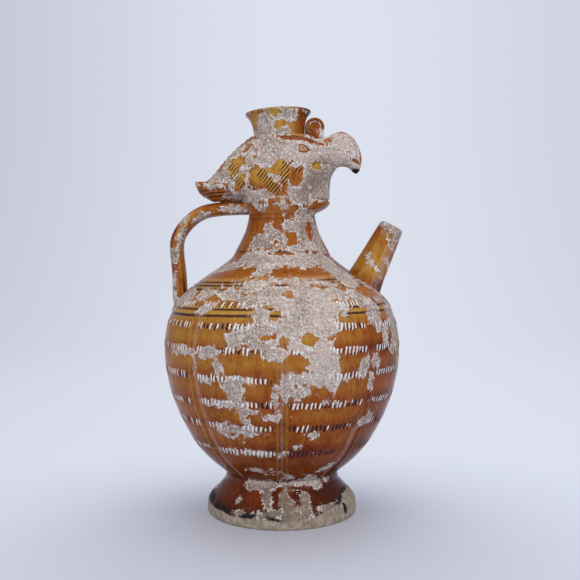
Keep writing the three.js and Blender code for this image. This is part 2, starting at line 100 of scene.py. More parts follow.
def flowThrough(rows, share):        # a smooth curve through given rows, share from 0 to 1
    rows = np.asarray(rows, float)
    last = len(rows) - 1
    spot = np.clip(np.asarray(share, float), 0, 1) * last
    start = np.minimum(spot.astype(int), last - 1)
    t = (spot - start)[:, None]
    before, here = rows[np.maximum(start - 1, 0)], rows[start]
    after, beyond = rows[start + 1], rows[np.minimum(start + 2, last)]
    return 0.5 * (2 * here + (after - before) * t + (2 * before - 5 * here + 4 * after - beyond) * t ** 2
                  + (3 * here - before - 3 * after + beyond) * t ** 3)


def smoothRows(rows, count):
    return [tuple(row) for row in flowThrough(rows, np.linspace(0, 1, count))]


def scatterKey(counts):        # a steady scattered number below 65536 for each row of whole numbers
    key = (counts * np.array([73856093, 19349663, 83492791])[:counts.shape[-1]]).sum(-1)
    key = (key ^ key >> 13) * 1274126177 & 0x7fffffff
    return key >> 8 & 0xffff


def scatterValue(*counts):        # from 0 to 1
    return scatterKey(np.stack(np.broadcast_arrays(*counts), -1).astype(np.int64)) / 65536


def softNoise(places, size, seed):        # smooth lattice noise from -1 to 1, with lumps of that size in mm
    spot = places / size + np.array([17.3, 5.1, 9.7]) * seed
    cell = np.floor(spot).astype(np.int64)
    blend = spot - cell
    blend = blend * blend * (3 - 2 * blend)
    total = np.zeros(len(places))
    for corner in range(8):
        step = np.array([corner & 1, corner >> 1 & 1, corner >> 2 & 1])
        total += (scatterKey(cell + step) / 32768 - 1) * np.where(step, blend, 1 - blend).prod(1)
    return total


def layeredNoise(places, size, seed, layers=3):
    return sum(softNoise(places, size / 2 ** i, seed + i) / 2 ** i for i in range(layers))


def addNoises(places, *noises):        # soft noises added up, each (gain, size, seed)
    return sum(gain * softNoise(places, size, seed) for gain, size, seed in noises)


def squeeze(places, share):        # drawn together in height, so that a noise on it is drawn out in height
    return places * np.array([1, 1, share])


def handWobble(places):        # how far the potter's wall strays from a true turned one, in mm
    return addNoises(places, (0.3, 58, 3), (0.12, 17, 4), (0.05, 5, 5))


# Worn glaze: listed patches of grey, degraded glaze, and islands of sound glaze in them.
# Round the vessel a patch is (degrees right of the front, height, half width, half height, lean), in mm.
# The far side, which the photograph doesn't show, is worn at random to about the same share.

roundPatches = [
    (-4, 240.5, 60, 8.5, 0), (50, 228, 16, 11, -20), (-62, 233, 24, 6, 10), (47, 221, 8, 8, 0),
    (67, 217.5, 11, 4.4, -28), (-15, 230, 6, 5, 0), (12, 211, 46, 9, 0), (2, 217.5, 40, 4, 0),
    (45, 206, 8, 8, -20), (48, 196, 4.5, 8, -15), (14, 198, 33, 11, 0), (12, 183, 26, 12, 0),
    (12, 168, 19, 12, 0), (18.5, 153, 14.5, 13, 0), (14, 139, 22, 6, -8), (21, 127.5, 8, 8.5, 0),
    (20, 127, 7, 5.2, -36), (-12, 203, 14, 5, 0), (2, 132, 6, 9, 0), (8, 128, 8, 4.5, 30),
    (-10, 178, 19, 8, 8), (-9, 169, 17, 7, 0), (-10, 192, 8, 8, 0), (-3, 160, 10, 6, 0),
    (-21, 170, 6, 8, 30), (-22, 131, 11, 9, -15), (-29.5, 149, 4.5, 10, 0), (-19, 137, 14, 3, 0),
    (-36, 136, 9, 2, 0), (-50, 158.5, 23, 2.8, 0), (-33, 161, 14, 4.2, 0), (-44, 150, 2.6, 7, -15),
    (-22, 121, 5, 5, 0), (-41, 196, 9, 3.6, 30), (-37, 199, 9, 4, 30), (-30, 209, 12, 5, 0),
    (-47, 208, 13, 5, 15), (-66, 204, 20, 8, 0), (39, 145.5, 5.4, 9.5, -30), (48, 151, 4, 8, 0),
    (45.5, 132, 2.6, 8, 0), (53, 188, 5, 10, -25), (56, 174, 4.5, 9, -10), (63, 161, 6, 6, 0),
    (69, 180, 11, 24, 0), (74, 146, 6, 14, 0), (-24, 93, 20, 4.6, -4), (-31, 88.5, 12, 2.8, -10),
    (-18, 101, 5, 5, 0), (-5, 105.5, 6.5, 2.4, 8), (-3, 121, 2.6, 11, 0), (8, 77, 2.4, 1.6, 0),
    (-13, 51.5, 9.5, 2.4, -8), (33, 52, 9, 3.4, 25), (48.5, 97, 8, 3.6, 38), (6, 46, 3, 1.6, 0),
    (16, 89, 4, 1.4, 0), (-26, 116, 22, 3.4, 0), (-17, 111, 8, 3.4, 0), (-14, 71.5, 15, 1.8, 0),
    (-28, 35, 9, 5, -10), (-8, 36.4, 13, 3.8, 0), (18, 37, 20, 3.2, 3), (4, 24, 8, 12, 0),
    (6, 14, 20, 7, 0), (20, 22, 5, 11, -10), (-13, 25, 5, 8, 35), (-33, 13, 6, 4, 0), (-38, 22, 2.2, 2, 0),
    (-14, 12, 7, 3, 0), (43, 14, 17, 4, 0), (36, 34, 3, 2.4, 0), (-29, 256, 13, 8, 12),
    (-22, 268, 4.4, 9, 8), (-12, 262, 6, 5, 0), (-3, 260, 8, 5, -30), (40, 262, 22, 20, 0),
    (36, 281, 14, 10, 0), (5, 249, 34, 4.4, 0), (0, 275, 4, 5, 40), (16, 272, 9, 6, 0),
]
roundIslands = [
    (-44, 226, 26, 4.6, 6), (16, 226.5, 28, 6, 0), (0, 216, 7, 2.2, 0), (25, 216, 5, 1.8, 0),
    (-44, 215.5, 13, 3, 0), (4, 209, 6, 3, 0), (-5, 173.5, 10, 2.4, 8), (11.5, 171, 7, 6, 0),
    (7, 152, 8.5, 9.5, 0), (60, 211, 10, 5, -25), (39, 197, 7, 5.5, 0), (66, 203, 12, 7, -10),
    (19, 126, 9, 7, -20), (14, 259, 7, 7, -10), (46, 264, 4, 9, -20), (-12, 249, 7, 2.4, 10),
    (-11, 278, 11, 7, 0), (11, 280, 6, 5, 40), (-6, 27, 4, 4, 20), (12, 27, 6, 3.6, -25),
    (14, 22, 2, 4, 20), (4, 245, 12, 1.2, 0), (28, 246, 7, 1.2, 0), (-60, 255, 12, 20, 0),
    (-25, 26, 9, 6, 0),
]

# On the head a patch is (x, height, half width, half height, lean), in mm, and shows on both sides.
# There the worn glaze is the ground, and the islands are sound glaze.

sideIslands = [
    (-19, 315, 14, 10, 0), (-27, 318, 6, 8, 0), (-1, 318, 8.5, 12, 0), (12.5, 318, 8.6, 11, 0),
    (-6, 305, 8, 7, 0), (1, 304, 5, 6, 0), (31.8, 326, 4.6, 4, -20), (-43, 325, 14, 6.4, 57),
    (-39, 312.5, 10, 5.4, 57), (-34, 340, 6, 3, 40), (-23, 341, 4, 2, 60), (-68, 302, 19, 9, 0),
    (-51, 295, 7, 3.4, 0), (-29, 288, 8, 3.6, -45), (-9, 285, 9, 6.5, 0), (-13, 292, 10, 4, 10),
    (-21, 306, 8, 3.4, 0), (12, 285, 5, 3.4, 0), (-8, 293, 2, 3, 0), (6, 292, 2, 2, 0),
    (-28.5, 365, 5, 14, -14), (-25, 375.5, 9, 4, 10), (-8, 375, 7.5, 5, 0), (-2, 365, 8, 4.4, 20),
    (17, 366, 9.5, 15, 0), (26, 372, 3, 8, 0), (46.5, 354, 3.6, 1.6, 0), (64, 341, 3.2, 1.2, -10),
    (70, 332, 4.4, 2.2, -35), (2, 350.5, 3, 2.4, 0), (31, 366, 14, 14, 0), (15, 351.6, 18, 3.2, -8),
    (43, 352.5, 3, 1.6, 0), (38, 289, 16, 6.4, 0), (28, 296, 1, 2.8, 0), (20, 338.5, 5, 1.6, 0),
]
sidePatches = [
    # The patch at x 10, height 326 is a painted highlight: the glint on the cheek, laid on as pale worn glaze.
    (-5, 314.5, 5, 1.4, -15), (10, 326, 4.4, 2.2, 10), (-60, 308, 11, 3.4, -8), (-20, 297, 6, 3, 30),
    (33, 362, 3, 2.4, 0), (27, 371, 1.6, 3, 0), (11, 372, 2, 5, -30), (-15, 288, 2, 5, 10),
    (-22, 285, 1.6, 4, -30), (26, 361, 2, 2, 0), (36.5, 359, 4, 8, 15), (30, 370, 3, 2, 0),
]
goldPlaces = [
    (-17, 316, 12, 8, 0), (0, 322, 7, 8, 0), (-44, 325, 11, 6, 55), (-40, 313, 8, 5, 55),
    (-1, 366, 9, 6, 30), (-7, 374, 6, 6, 0), (32, 326, 5, 5, 0), (12, 368, 12, 14, 0), (-28, 372, 6, 8, 0),
]

# Places on the handle and the spout, where the glaze is the ground

limbPatches = [
    (-103, 243, 5, 7, 0), (-50, 287, 12, 3.4, 0), (-92, 277, 3, 8, -40), (-101, 222, 1.6, 9, 0),
    (-97, 200, 5, 4, 0), (110, 264, 5, 9, -25), (103, 271.5, 9, 5, -25), (84, 239, 2.8, 4.4, 20),
    (90.5, 228, 1.3, 3.6, 20), (-70, 283, 6, 2, 0), (103, 254, 1.6, 8, 25), (97, 241, 1.4, 6, 25),
    (-93, 268, 3, 5, -30), (-80, 279, 5, 1.2, 40), (-98, 258, 1.4, 6, 0),
]


farWear = {"turns": (80, 100), "gain": 13, "size": 46, "seed": 35,
           "heights": [0, 40, 60, 150, 205, 250, 285], "lifts": [1, 0, -4, -2.5, 2, 0, 1]}
deepest = 8        # wear counts up to 8 mm inside or outside the edge of a patch


def patchReach(across, up, patches):        # about how far inside the nearest patch, in mm
    best = np.full(len(up), -30.0)
    for where, level, wide, tall, lean in patches:
        turn = math.radians(lean)
        side, rise = across(where), up - level
        along = side * math.cos(turn) + rise * math.sin(turn)
        off = rise * math.cos(turn) - side * math.sin(turn)
        best = np.maximum(best, (1 - np.hypot(along / wide, off / tall)) * min(wide, tall))
    return best


def sideReach(places, patches):        # the same for patches placed by x
    return patchReach(lambda where: places[:, 0] - where, places[:, 2], patches)


def frontTurn(places):        # degrees to the right of the front, as the camera sees it
    return np.mod(np.degrees(np.arctan2(places[:, 1], places[:, 0])) + 90 + 180, 360) - 180


def wornRound(places):
    turn, radius, height = frontTurn(places), np.hypot(places[:, 0], places[:, 1]), places[:, 2]
    across = lambda where: np.radians((turn - where + 180) % 360 - 180) * radius
    worn = np.minimum(patchReach(across, height, roundPatches), -patchReach(across, height, roundIslands))
    scattered = farWear["gain"] * layeredNoise(squeeze(places, 1.3), farWear["size"], farWear["seed"], 4)
    lift = np.interp(height, farWear["heights"], farWear["lifts"])
    scattered = np.clip(scattered + lift, -deepest, deepest)
    farSide = ease(*farWear["turns"], np.abs(turn))
    return np.clip(worn * (1 - farSide) + scattered * farSide, -deepest, deepest)


def wornSide(places, sound=-30):        # sound is the least that a place counts as inside an island
    worn = np.minimum(5.0, -np.maximum(sideReach(places, sideIslands), sound))
    return np.clip(np.maximum(worn, sideReach(places, sidePatches)), -deepest, deepest)


def wornLimb(places):
    return np.clip(sideReach(places, limbPatches), -deepest, deepest)


def wornGlaze(places):        # the vessel's patches pass into the head's at the top of the neck
    share = ease(280, 288, places[:, 2])
    return wornRound(places) * (1 - share) + wornSide(places) * share


# Glaze tone: 0 is golden, 1 the dark red-brown of the foot. Spots are placed by degrees right of the front.

toneLook = {
    "heights": [0, 30, 45, 60, 72, 84, 95, 106, 116, 128, 139, 150, 162, 172, 182, 189, 194, 200, 215, 228,
                240, 262, 282],
    "shares": [1, 0.97, 0.87, 0.78, 0.74, 0.69, 0.65, 0.63, 0.60, 0.54, 0.50, 0.40, 0.42, 0.34, 0.40, 0.20,
               0.14, 0.36, 0.36, 0.53, 0.56, 0.54, 0.64],
    "spots": [(0.05, -35, 22, 165, 22), (0.22, 66, 14, 222, 8), (0.06, 54, 24, 150, 40)],
    "pooled": 0.11, "thinned": 0.07, "rightSide": 0.14, "lowLeft": 0.05, "rightFront": 0.16,
    "head": 0.55, "headGold": 0.37,
}


def toneRound(places):
    turn, height = frontTurn(places), places[:, 2]
    tone = np.interp(height, toneLook["heights"], toneLook["shares"])
    tone = tone + addSpots(turn, height, toneLook["spots"])
    for upper, lower in zip(wall["strokeRows"][1:], wall["strokeRows"][2:]):        # pooled above each row
        share = (upper - height) / (upper - lower)
        tone = tone + toneLook["pooled"] * ease(0.55, 0.92, share) * (share < 1)
        tone = tone - toneLook["thinned"] * ease(0.2, 0.4, share) * ease(0.75, 0.5, share)
    tone = tone + toneLook["rightSide"] * ease(28, 60, turn) * (turn < 130)
    tone = tone - toneLook["lowLeft"] * bell(turn + 25, 25) * ease(115, 105, height)
    rightFront = ease(20, 30, turn) * ease(75, 60, turn) * bell(height - 165, 18)
    tone = tone + toneLook["rightFront"] * rightFront
    return tone + addNoises(places, (0.07, 31, 71)) + addNoises(squeeze(places, 0.4), (0.06, 9, 72))


def toneSide(places):
    golden = ease(-3.5, 1.5, sideReach(places, goldPlaces))
    return toneLook["head"] - toneLook["headGold"] * golden + addNoises(places, (0.09, 14, 73), (0.06, 5, 74))


duskLook = {
    "usual": 0.36, "handle": 0.1, "foot": 0.5, "neck": 0.24, "head": -0.06,
    "spots": [(-0.3, 20, 26, 165, 45), (0.22, -12, 14, 176, 12), (0.24, 54, 24, 148, 40)],
    # The first head spot darkens the worn glaze of the throat under the beak: painted shade.
    "headSpots": [(0.55, 27, 14, 310, 15), (-0.25, 55, 16, 345, 14)],        # placed by x
}


def duskiness(places):        # where the worn glaze is darker
    x, height = places[:, 0], places[:, 2]
    dusk = duskLook["usual"] + addNoises(places, (0.22, 24, 81), (0.2, 8, 82))
    dusk = dusk + addSpots(frontTurn(places), height, duskLook["spots"])
    dusk = dusk + addSpots(x, height, duskLook["headSpots"])
    dusk = dusk + duskLook["handle"] * ease(-56, -66, x) * (height > 225)
    dusk = dusk + duskLook["foot"] * ease(38, 30, height) + duskLook["neck"] * bell(height - 262, 16)
    return dusk + duskLook["head"] * ease(288, 300, height)


# Node tools for the glazes

def addNode(tree, kind, settings=None, inputs=None):
    made = tree.nodes.new(kind)
    for key, value in (settings or {}).items():
        setattr(made, key, value)
    for key, value in (inputs or {}).items():
        if isinstance(value, bpy.types.NodeSocket):
            tree.links.new(value, made.inputs[key])
        else:
            made.inputs[key].default_value = value
    return made


def nodeValue(tree, kind, settings, inputs):
    return addNode(tree, kind, settings, inputs).outputs[0]


def doMath(tree, operation, first, second=0.0, third=0.0):
    return nodeValue(tree, "ShaderNodeMath", {"operation": operation}, {0: first, 1: second, 2: third})


def times(tree, first, second):
    return doMath(tree, "MULTIPLY", first, second)


def mixColours(tree, share, first, second):
    return addNode(tree, "ShaderNodeMix", {"data_type": "RGBA"}, {0: share, 6: first, 7: second}).outputs[2]


def mixNumbers(tree, share, first, second):
    return nodeValue(tree, "ShaderNodeMix", {}, {0: share, 2: first, 3: second})


def nodeEase(tree, value, low, high, start=0.0, end=1.0):
    return nodeValue(tree, "ShaderNodeMapRange", {"interpolation_type": "SMOOTHSTEP"},
                     {0: value, 1: low, 2: high, 3: start, 4: end})


def grain(tree, place, size, detail, rough, warp=0.0):        # noise of that size in mm, around 0.5
    return nodeValue(tree, "ShaderNodeTexNoise", {}, {
        "Vector": place, "Scale": 1 / (size * mm), "Detail": detail, "Roughness": rough, "Distortion": warp})


def flakes(tree, place, size):        # one value for each flake of that size in mm
    made = addNode(tree, "ShaderNodeTexVoronoi", {}, {
        "Vector": place, "Scale": 1 / (size * mm), "Randomness": 1.0})
    return nodeValue(tree, "ShaderNodeSeparateColor", {}, {0: made.outputs["Color"]})


def stretched(tree, place, scale, offset=(0, 0, 0)):
    return nodeValue(tree, "ShaderNodeMapping", {}, {"Vector": place, "Location": offset, "Scale": scale})


def around(tree, value, gain, base):        # base plus gain times the noise's distance from its middle
    return doMath(tree, "MULTIPLY_ADD", doMath(tree, "SUBTRACT", value, 0.5), gain, base)


paintedFields = ("worn", "tone", "dusk", "chalk", "cut", "line", "gold", "sheen", "ink", "clay", "hatch")

glazeLook = {
    "tones": [(0.0, (0.46, 0.270, 0.050)), (0.22, (0.39, 0.180, 0.026)), (0.42, (0.33, 0.120, 0.017)),
              (0.62, (0.262, 0.066, 0.008)), (0.82, (0.150, 0.025, 0.004)), (1.0, (0.062, 0.009, 0.003))],
    # Of these, the pale pinkish third colour paints reflections on the wall and spout, and is also the eyes' own
    # pale middle.
    "plum": (0.040, 0.011, 0.016, 1), "blush": (0.42, 0.20, 0.15, 1), "sheen": (0.50, 0.33, 0.29, 1),
    "gold": (0.54, 0.33, 0.06, 1), "grey": (0.52, 0.43, 0.388, 1), "greyDark": (0.185, 0.134, 0.098, 1),
    "chalk": (0.77, 0.745, 0.725, 1), "ink": (0.010, 0.010, 0.013, 1),
    "clay": (0.25, 0.20, 0.15, 1), "clayPale": (0.42, 0.355, 0.29, 1),
    "gloss": 0.12, "matt": 0.8, "specular": 0.13, "bump": 0.5, "thickness": 0.35,
    "hatchAcross": (0.77, 0, -0.64), "hatchPitch": 2.75,
    "grains": {        # size in mm, detail, roughness, squeeze in height, shift
        "streak": (4.5, 3, 0.6, 0.2, (0, 0, 0)), "thread": (1.5, 3, 0.6, 0.3, (0.2, 0.1, 0)),
        "mottle": (3.0, 4, 0.6, 1, (0, 0, 0)), "fine": (0.9, 3, 0.7, 1, (0, 0, 0)),
        "speckle": (1.4, 2, 0.75, 1, (0, 0, 0)), "crumbs": (1.2, 2, 0.7, 1, (0.2, 0.3, 0.1)),
        "fray": (3.2, 3, 0.7, 0.6, (0.1, 0, 0.3)), "rim": (7, 3, 0.55, 1, (0.3, 0.1, 0.2)),
        "pale": (1.8, 4, 0.7, 0.8, (0, 0.4, 0.1)), "clay": (4.5, 4, 0.75, 1, (0, 0, 0)),
        "hatch": (5, 1, 0.55, 1, (0, 0, 0)),
    },
}


def glazeFinish(name):
    look = glazeLook
    finish = bpy.data.materials.new(name)
    finish.use_nodes = True
    tree = finish.node_tree
    shader = tree.nodes["Principled BSDF"]
    place = addNode(tree, "ShaderNodeTexCoord").outputs["Object"]
    noise = {key: grain(tree, stretched(tree, place, (1, 1, upright), shift), size, detail, rough)
             for key, (size, detail, rough, upright, shift) in look["grains"].items()}
    field = {key: addNode(tree, "ShaderNodeAttribute", {"attribute_name": key}).outputs["Fac"]
             for key in paintedFields}

    def cover(under, share, shade):        # lays one of the look's colours over what is there
        return mixColours(tree, share, under, look[shade])

    # sound glaze: golden where thin, redder where it pooled, streaked downwards
    tone = field["tone"]
    lively = nodeEase(tree, tone, 0.45, 0.85, 1.0, 0.45)        # dark glaze is the more even
    for key, gain in (("streak", 0.60), ("thread", 0.62), ("mottle", 0.45)):
        tone = around(tree, noise[key], times(tree, lively, gain), tone)
    ramp = addNode(tree, "ShaderNodeValToRGB", {}, {0: tone})
    stops = ramp.color_ramp.elements
    for at, shade in look["tones"][1:-1]:
        stops.new(at)
    for stop, (at, shade) in zip(stops, look["tones"]):
        stop.position = at
        stop.color = shade + (1,)
    amber = ramp.outputs[0]
    colour = cover(amber, nodeEase(tree, noise["fine"], 0.56, 0.72, 0, 0.42), "plum")
    colour = cover(colour, nodeEase(tree, noise["fine"], 0.42, 0.28, 0, 0.34), "gold")
    colour = cover(colour, field["gold"], "gold")
    # Pale paint from its field: a painted reflection on the wall and spout, and the eyes' own pale middle.
    colour = cover(colour, times(tree, field["sheen"], nodeEase(tree, noise["mottle"], 0.3, 0.6)), "sheen")
    cutLine = nodeEase(tree, around(tree, noise["crumbs"], 0.6, field["line"]), 0.28, 0.66, 0, 0.93)
    colour = cover(colour, cutLine, "plum")

    # worn glaze, with a ragged flaking edge and a chalky rim here and there
    ragged = around(tree, grain(tree, place, 12, 4, 0.6, 0.5), 14, field["worn"])
    ragged = around(tree, noise["fray"], 7, ragged)
    ragged = around(tree, flakes(tree, stretched(tree, place, (1, 1, 0.7)), 3.4), 2.2, ragged)
    ragged = around(tree, flakes(tree, place, 1.4), 1.1, ragged)
    bare = nodeEase(tree, ragged, -0.15, 0.15)
    rim = times(tree, nodeEase(tree, ragged, -0.6, -0.2), nodeEase(tree, ragged, 0.4, 1.4, 1, 0))
    rim = times(tree, rim, nodeEase(tree, noise["rim"], 0.42, 0.54))
    blush = times(tree, nodeEase(tree, ragged, -2.2, -0.4), nodeEase(tree, noise["rim"], 0.62, 0.45))
    colour = cover(colour, times(tree, blush, 0.30), "blush")
    # A thin dark band just outside each patch's edge: a painted shadow of the patch's rim.
    paintedEdgeShadow = times(tree, nodeEase(tree, ragged, -2.0, -0.9),
                   nodeEase(tree, noise["rim"], 0.46, 0.58, 0, 0.45))
    colour = cover(colour, paintedEdgeShadow, "plum")
    dusk = field["dusk"]
    for key, gain in (("mottle", 1.3), ("speckle", 2.9), ("fine", 1.7)):
        dusk = around(tree, noise[key], gain, dusk)
    wornColour = mixColours(tree, nodeEase(tree, dusk, -0.15, 0.95), look["grey"], look["greyDark"])
    flecks = times(tree, nodeEase(tree, noise["pale"], 0.53, 0.63, 0, 0.72),
                   nodeEase(tree, field["dusk"], 0.45, 0.95, 1, 0.3))
    wornColour = cover(wornColour, flecks, "chalk")
    hints = times(tree, nodeEase(tree, noise["pale"], 0.40, 0.30),
                  nodeEase(tree, noise["streak"], 0.5, 0.6))
    wornColour = mixColours(tree, times(tree, hints, 0.55), wornColour, amber)
    wornColour = cover(wornColour, times(tree, cutLine, 0.55), "plum")
    colour = mixColours(tree, bare, colour, wornColour)
    powder = nodeEase(tree, around(tree, noise["crumbs"], 1.1, field["chalk"]), 0.36, 0.56)
    powder = doMath(tree, "MAXIMUM", times(tree, rim, 0.76), powder)
    powder = times(tree, powder, nodeEase(tree, noise["fine"], 0.28, 0.42))
    colour = cover(colour, powder, "chalk")

    # incised feather strokes on the head, all leaning the same way
    across = addNode(tree, "ShaderNodeVectorMath", {"operation": "DOT_PRODUCT"},
                     {0: place, 1: look["hatchAcross"]})
    phase = times(tree, across.outputs["Value"], 2 * math.pi / (look["hatchPitch"] * mm))
    wave = doMath(tree, "COSINE", around(tree, noise["hatch"], 4.0, phase))
    stroke = times(tree, nodeEase(tree, wave, 0.0, 0.55), field["hatch"])
    between = times(tree, nodeEase(tree, wave, -0.2, -0.8), field["hatch"])
    colour = cover(colour, times(tree, between, 0.45), "gold")
    colour = cover(colour, times(tree, stroke, mixNumbers(tree, bare, 0.9, 0.35)), "plum")
    cutMark = nodeEase(tree, around(tree, noise["crumbs"], 0.7, field["cut"]), 0.30, 0.60)
    colour = cover(colour, cutMark, "plum")

    # bare clay at the foot, and the black beads where the glaze stopped above it
    clayShare = nodeEase(tree, noise["clay"], 0.38, 0.64)
    clayColour = mixColours(tree, clayShare, look["clay"], look["clayPale"])
    clayColour = cover(clayColour, nodeEase(tree, noise["fine"], 0.58, 0.7, 0, 0.5), "greyDark")
    colour = cover(mixColours(tree, field["clay"], colour, clayColour), field["ink"], "ink")
    dull = doMath(tree, "MAXIMUM", doMath(tree, "MAXIMUM", bare, field["clay"]), powder)
    dull = doMath(tree, "MAXIMUM", dull, times(tree, field["ink"], 0.6))
    rough = mixNumbers(tree, dull, around(tree, noise["mottle"], 0.12, look["gloss"]), look["matt"])

    # the worn glaze stands a little proud of the sound one, and is pitted; the strokes are cut in
    relief = times(tree, bare, doMath(tree, "MULTIPLY_ADD", noise["fine"], 0.7, 0.6))
    for height, gain in ((noise["mottle"], 0.3), (powder, 0.35), (stroke, -0.8)):
        relief = doMath(tree, "MULTIPLY_ADD", height, gain, relief)
    bump = addNode(tree, "ShaderNodeBump", {}, {
        "Strength": look["bump"], "Distance": look["thickness"] * mm, "Height": relief})
    for socket, made in (("Base Color", colour), ("Roughness", rough), ("Normal", bump.outputs[0])):
        tree.links.new(made, shader.inputs[socket])
    shader.inputs["Specular IOR Level"].default_value = look["specular"]
    return finish


vesselGlaze = glazeFinish("vesselGlaze")
print("glaze ready")


# Turned pieces

def spinOutline(name, outline, steps):        # outline is (radius, height) in mm
    clearSelection()
    bpy.ops.mesh.primitive_circle_add(vertices=len(outline), radius=1, fill_type="NOTHING")
    piece = nameNew(name)
    for vertex, (radius, height) in zip(piece.data.vertices, outline):
        vertex.co = (radius * mm, 0, height * mm)
    bpy.ops.object.mode_set(mode="EDIT")
    bpy.ops.mesh.select_mode(type="EDGE")
    bpy.ops.mesh.select_all(action="DESELECT")
    bpy.ops.object.mode_set(mode="OBJECT")
    for edge in piece.data.edges:        # an edge on the axis would spin into nothing
        edge.select = all(abs(piece.data.vertices[index].co.x) < 1e-7 for index in edge.vertices)
    bpy.ops.object.mode_set(mode="EDIT")
    bpy.ops.mesh.delete(type="EDGE")
    bpy.ops.object.mode_set(mode="OBJECT")
    turned = piece.modifiers.new("turned", "SCREW")
    turned.steps = turned.render_steps = steps
    turned.use_merge_vertices = True
    turned.merge_threshold = 1e-6
    bpy.ops.object.modifier_apply(modifier="turned")
    closeMesh(1e-6)
    return piece


def lippedOutline(shape):        # outer wall, lip and inner wall, each smoothed to its own count of points
    return sum((smoothRows(shape[name], count) for name, count in shape["counts"].items()), [])


def radiusAt(outline, height):
    radii, levels = np.array(outline).T
    return np.interp(height, levels, radii)


def polar(places):
    return np.arctan2(places[:, 1], places[:, 0]), np.hypot(places[:, 0], places[:, 1]), places[:, 2]


def moveOut(places, amount):        # moves each place away from the axis, in mm
    turn, radius, height = polar(places)
    radius = radius + amount
    return np.stack([radius * np.cos(turn), radius * np.sin(turn), height], 1)


def alongNormals(piece, places, amount):        # moves each place along its own normal, in mm
    return places + readVertices(piece, "normal") * np.asarray(amount)[:, None]


def leanOver(places, degrees):        # x and height of places leaned towards +X
    turn = math.radians(degrees)
    x = places[:, 0] * math.cos(turn) + places[:, 2] * math.sin(turn)
    return x, places[:, 2] * math.cos(turn) - places[:, 0] * math.sin(turn)


def finishPiece(piece, node, slotName, places, worn, tone, **fields):        # fields are vertex values
    fields.update(worn=worn, tone=tone, dusk=duskiness(places))
    for name in paintedFields:
        layer = piece.data.attributes.new(name, "FLOAT", "POINT")
        layer.data.foreach_set("value", np.asarray(fields.get(name, np.zeros(len(places))), np.float32))
    piece.data.materials.clear()
    piece.data.materials.append(vesselGlaze)
    pickPiece(piece)
    bpy.ops.object.shade_smooth()
    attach(piece, "root")
    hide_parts(node)
    print(piece.name, "made,", len(piece.data.polygons), "faces")


# Belly and shoulder: the wall is slightly flat between the rows of combed strokes

wall = {
    "outline": [(53.3, 38.8), (60.4, 44.8), (67.5, 50.7), (75, 58), (81, 65), (85.9, 72), (92.4, 83.5), (98, 95),
                (102.4, 106), (106, 116.5), (108.8, 127.5), (111, 139), (112, 150), (112.3, 162), (111.1, 172),
                (109, 182), (105.3, 190), (104, 195), (101.8, 199.5), (95.5, 206), (89, 212), (81, 218),
                (75, 222), (69.7, 225.9), (65, 228.7), (60.6, 231.6), (56.6, 234.5), (53, 237.3), (49.4, 240.2)],
    "bellyInner": [(98.3, 190), (104.5, 168), (103, 140), (96, 112), (83, 82), (66, 60), (54, 50)],
    "shoulderInner": [(41, 240.2), (52, 230), (70, 219), (86, 207), (95, 196), (98.3, 190)],
    "base": 38.8, "floorTop": 47.8, "seam": 190, "collar": 240.2, "steps": 960,
    "bellySpacing": (3.0, 5.2, 0.85), "shoulderSpacing": (1.7, 3.2, 0.55),        # coarse, how near a row, fine
    "strokeRows": (200, 182, 162, 139, 116.5, 95, 72), "strokeHeight": 5.6, "strokePitch": 3.9,
    "strokeWidth": 1.5, "strokeDepth": 0.5,
    "bareRows": {95: 0.45, 72: 1},        # there the strokes to the right of the front hold no fill
    "lobes": 8, "grooveHalf": 2.7, "grooveDepth": 1.0, "ridgeAt": 4.1, "ridgeHeight": 0.45, "lobeSwell": 1.3,
    "paleTurns": [10, 30, 60, 90], "paleShares": [1, 0.2, 0.2, 1],
    "drift": {200: ((28, 60), (0, 3)), 139: ((-60, -25, -3, 3, 60), (0, -1.6, -2, 1, 1.5)),
              116.5: ((-60, -30, 3, 60), (-2.4, 0, -1, -1.5)), 72: ((-60, 60), (-1, -1))},
    "lines": (191.2, 196.4, 212.8, 215.9, 218.8), "lineHalf": (1.2, 1.0, 0.95, 0.95, 0.95), "lineDepth": 0.8,
    "liftAt": (-85, 0, 75, 100), "seamLift": (-0.8, 0.2, 1.8, 3.0), "upperLift": (-0.8, 0.6, 3.6, 4.2),
    "sheenAt": 220.2,
}
spoutHole = {"radius": 10.2, "depth": 60, "place": (0.0795, 0, 0.2201), "lean": 26.6, "sides": 48}
lobeAngle = 2 * math.pi / wall["lobes"]


def wallRadius(height):
    return radiusAt(wall["outline"], height)


def grooveGap(turn, radius):        # millimetres along the wall from the middle of the nearest pressed groove
    return (np.mod(turn + math.pi / 2 + lobeAngle / 2, lobeAngle) - lobeAngle / 2) * radius


def lobeShape(turn, radius, height):        # the wall's move outwards, dark edges, pale ridges and sheen
    gap = grooveGap(turn, radius)
    off, half = np.abs(gap), wall["grooveHalf"]
    share = np.mod(turn + math.pi / 2, lobeAngle) / lobeAngle
    fade = ease(wall["seam"] + 1, wall["seam"] - 6, height) * ease(wall["base"], 43, height)
    groove = ease(half + 1.4, half - 1.0, off) * fade
    ridge = bell(off - wall["ridgeAt"], 0.8) * fade
    swell = wall["lobeSwell"] * (np.sin(math.pi * share) - 1) * fade
    edge = bell(off - half - 0.1, 0.8) * fade
    right = np.mod(np.degrees(turn) + 270, 360) - 180
    pale = 0.4 * bell(off - wall["ridgeAt"] + 0.3, 0.75) * fade
    pale = pale * np.interp(right, wall["paleTurns"], wall["paleShares"])
    # The sheen is a painted reflection: pale streaks beside the front and side grooves, where the lamps shine on
    # the lobes.
    sheen = 0.4 * bell(gap, 1.6) * bell(right, 10) + 0.55 * bell(gap - 4.5, 3.2) * bell(right + 42, 9)
    sheen = sheen + 0.6 * bell(gap + 4, 3.4) * bell(right - 42, 9) * ease(110, 95, height)
    return swell - groove * wall["grooveDepth"] + ridge * wall["ridgeHeight"], edge, pale, sheen * fade


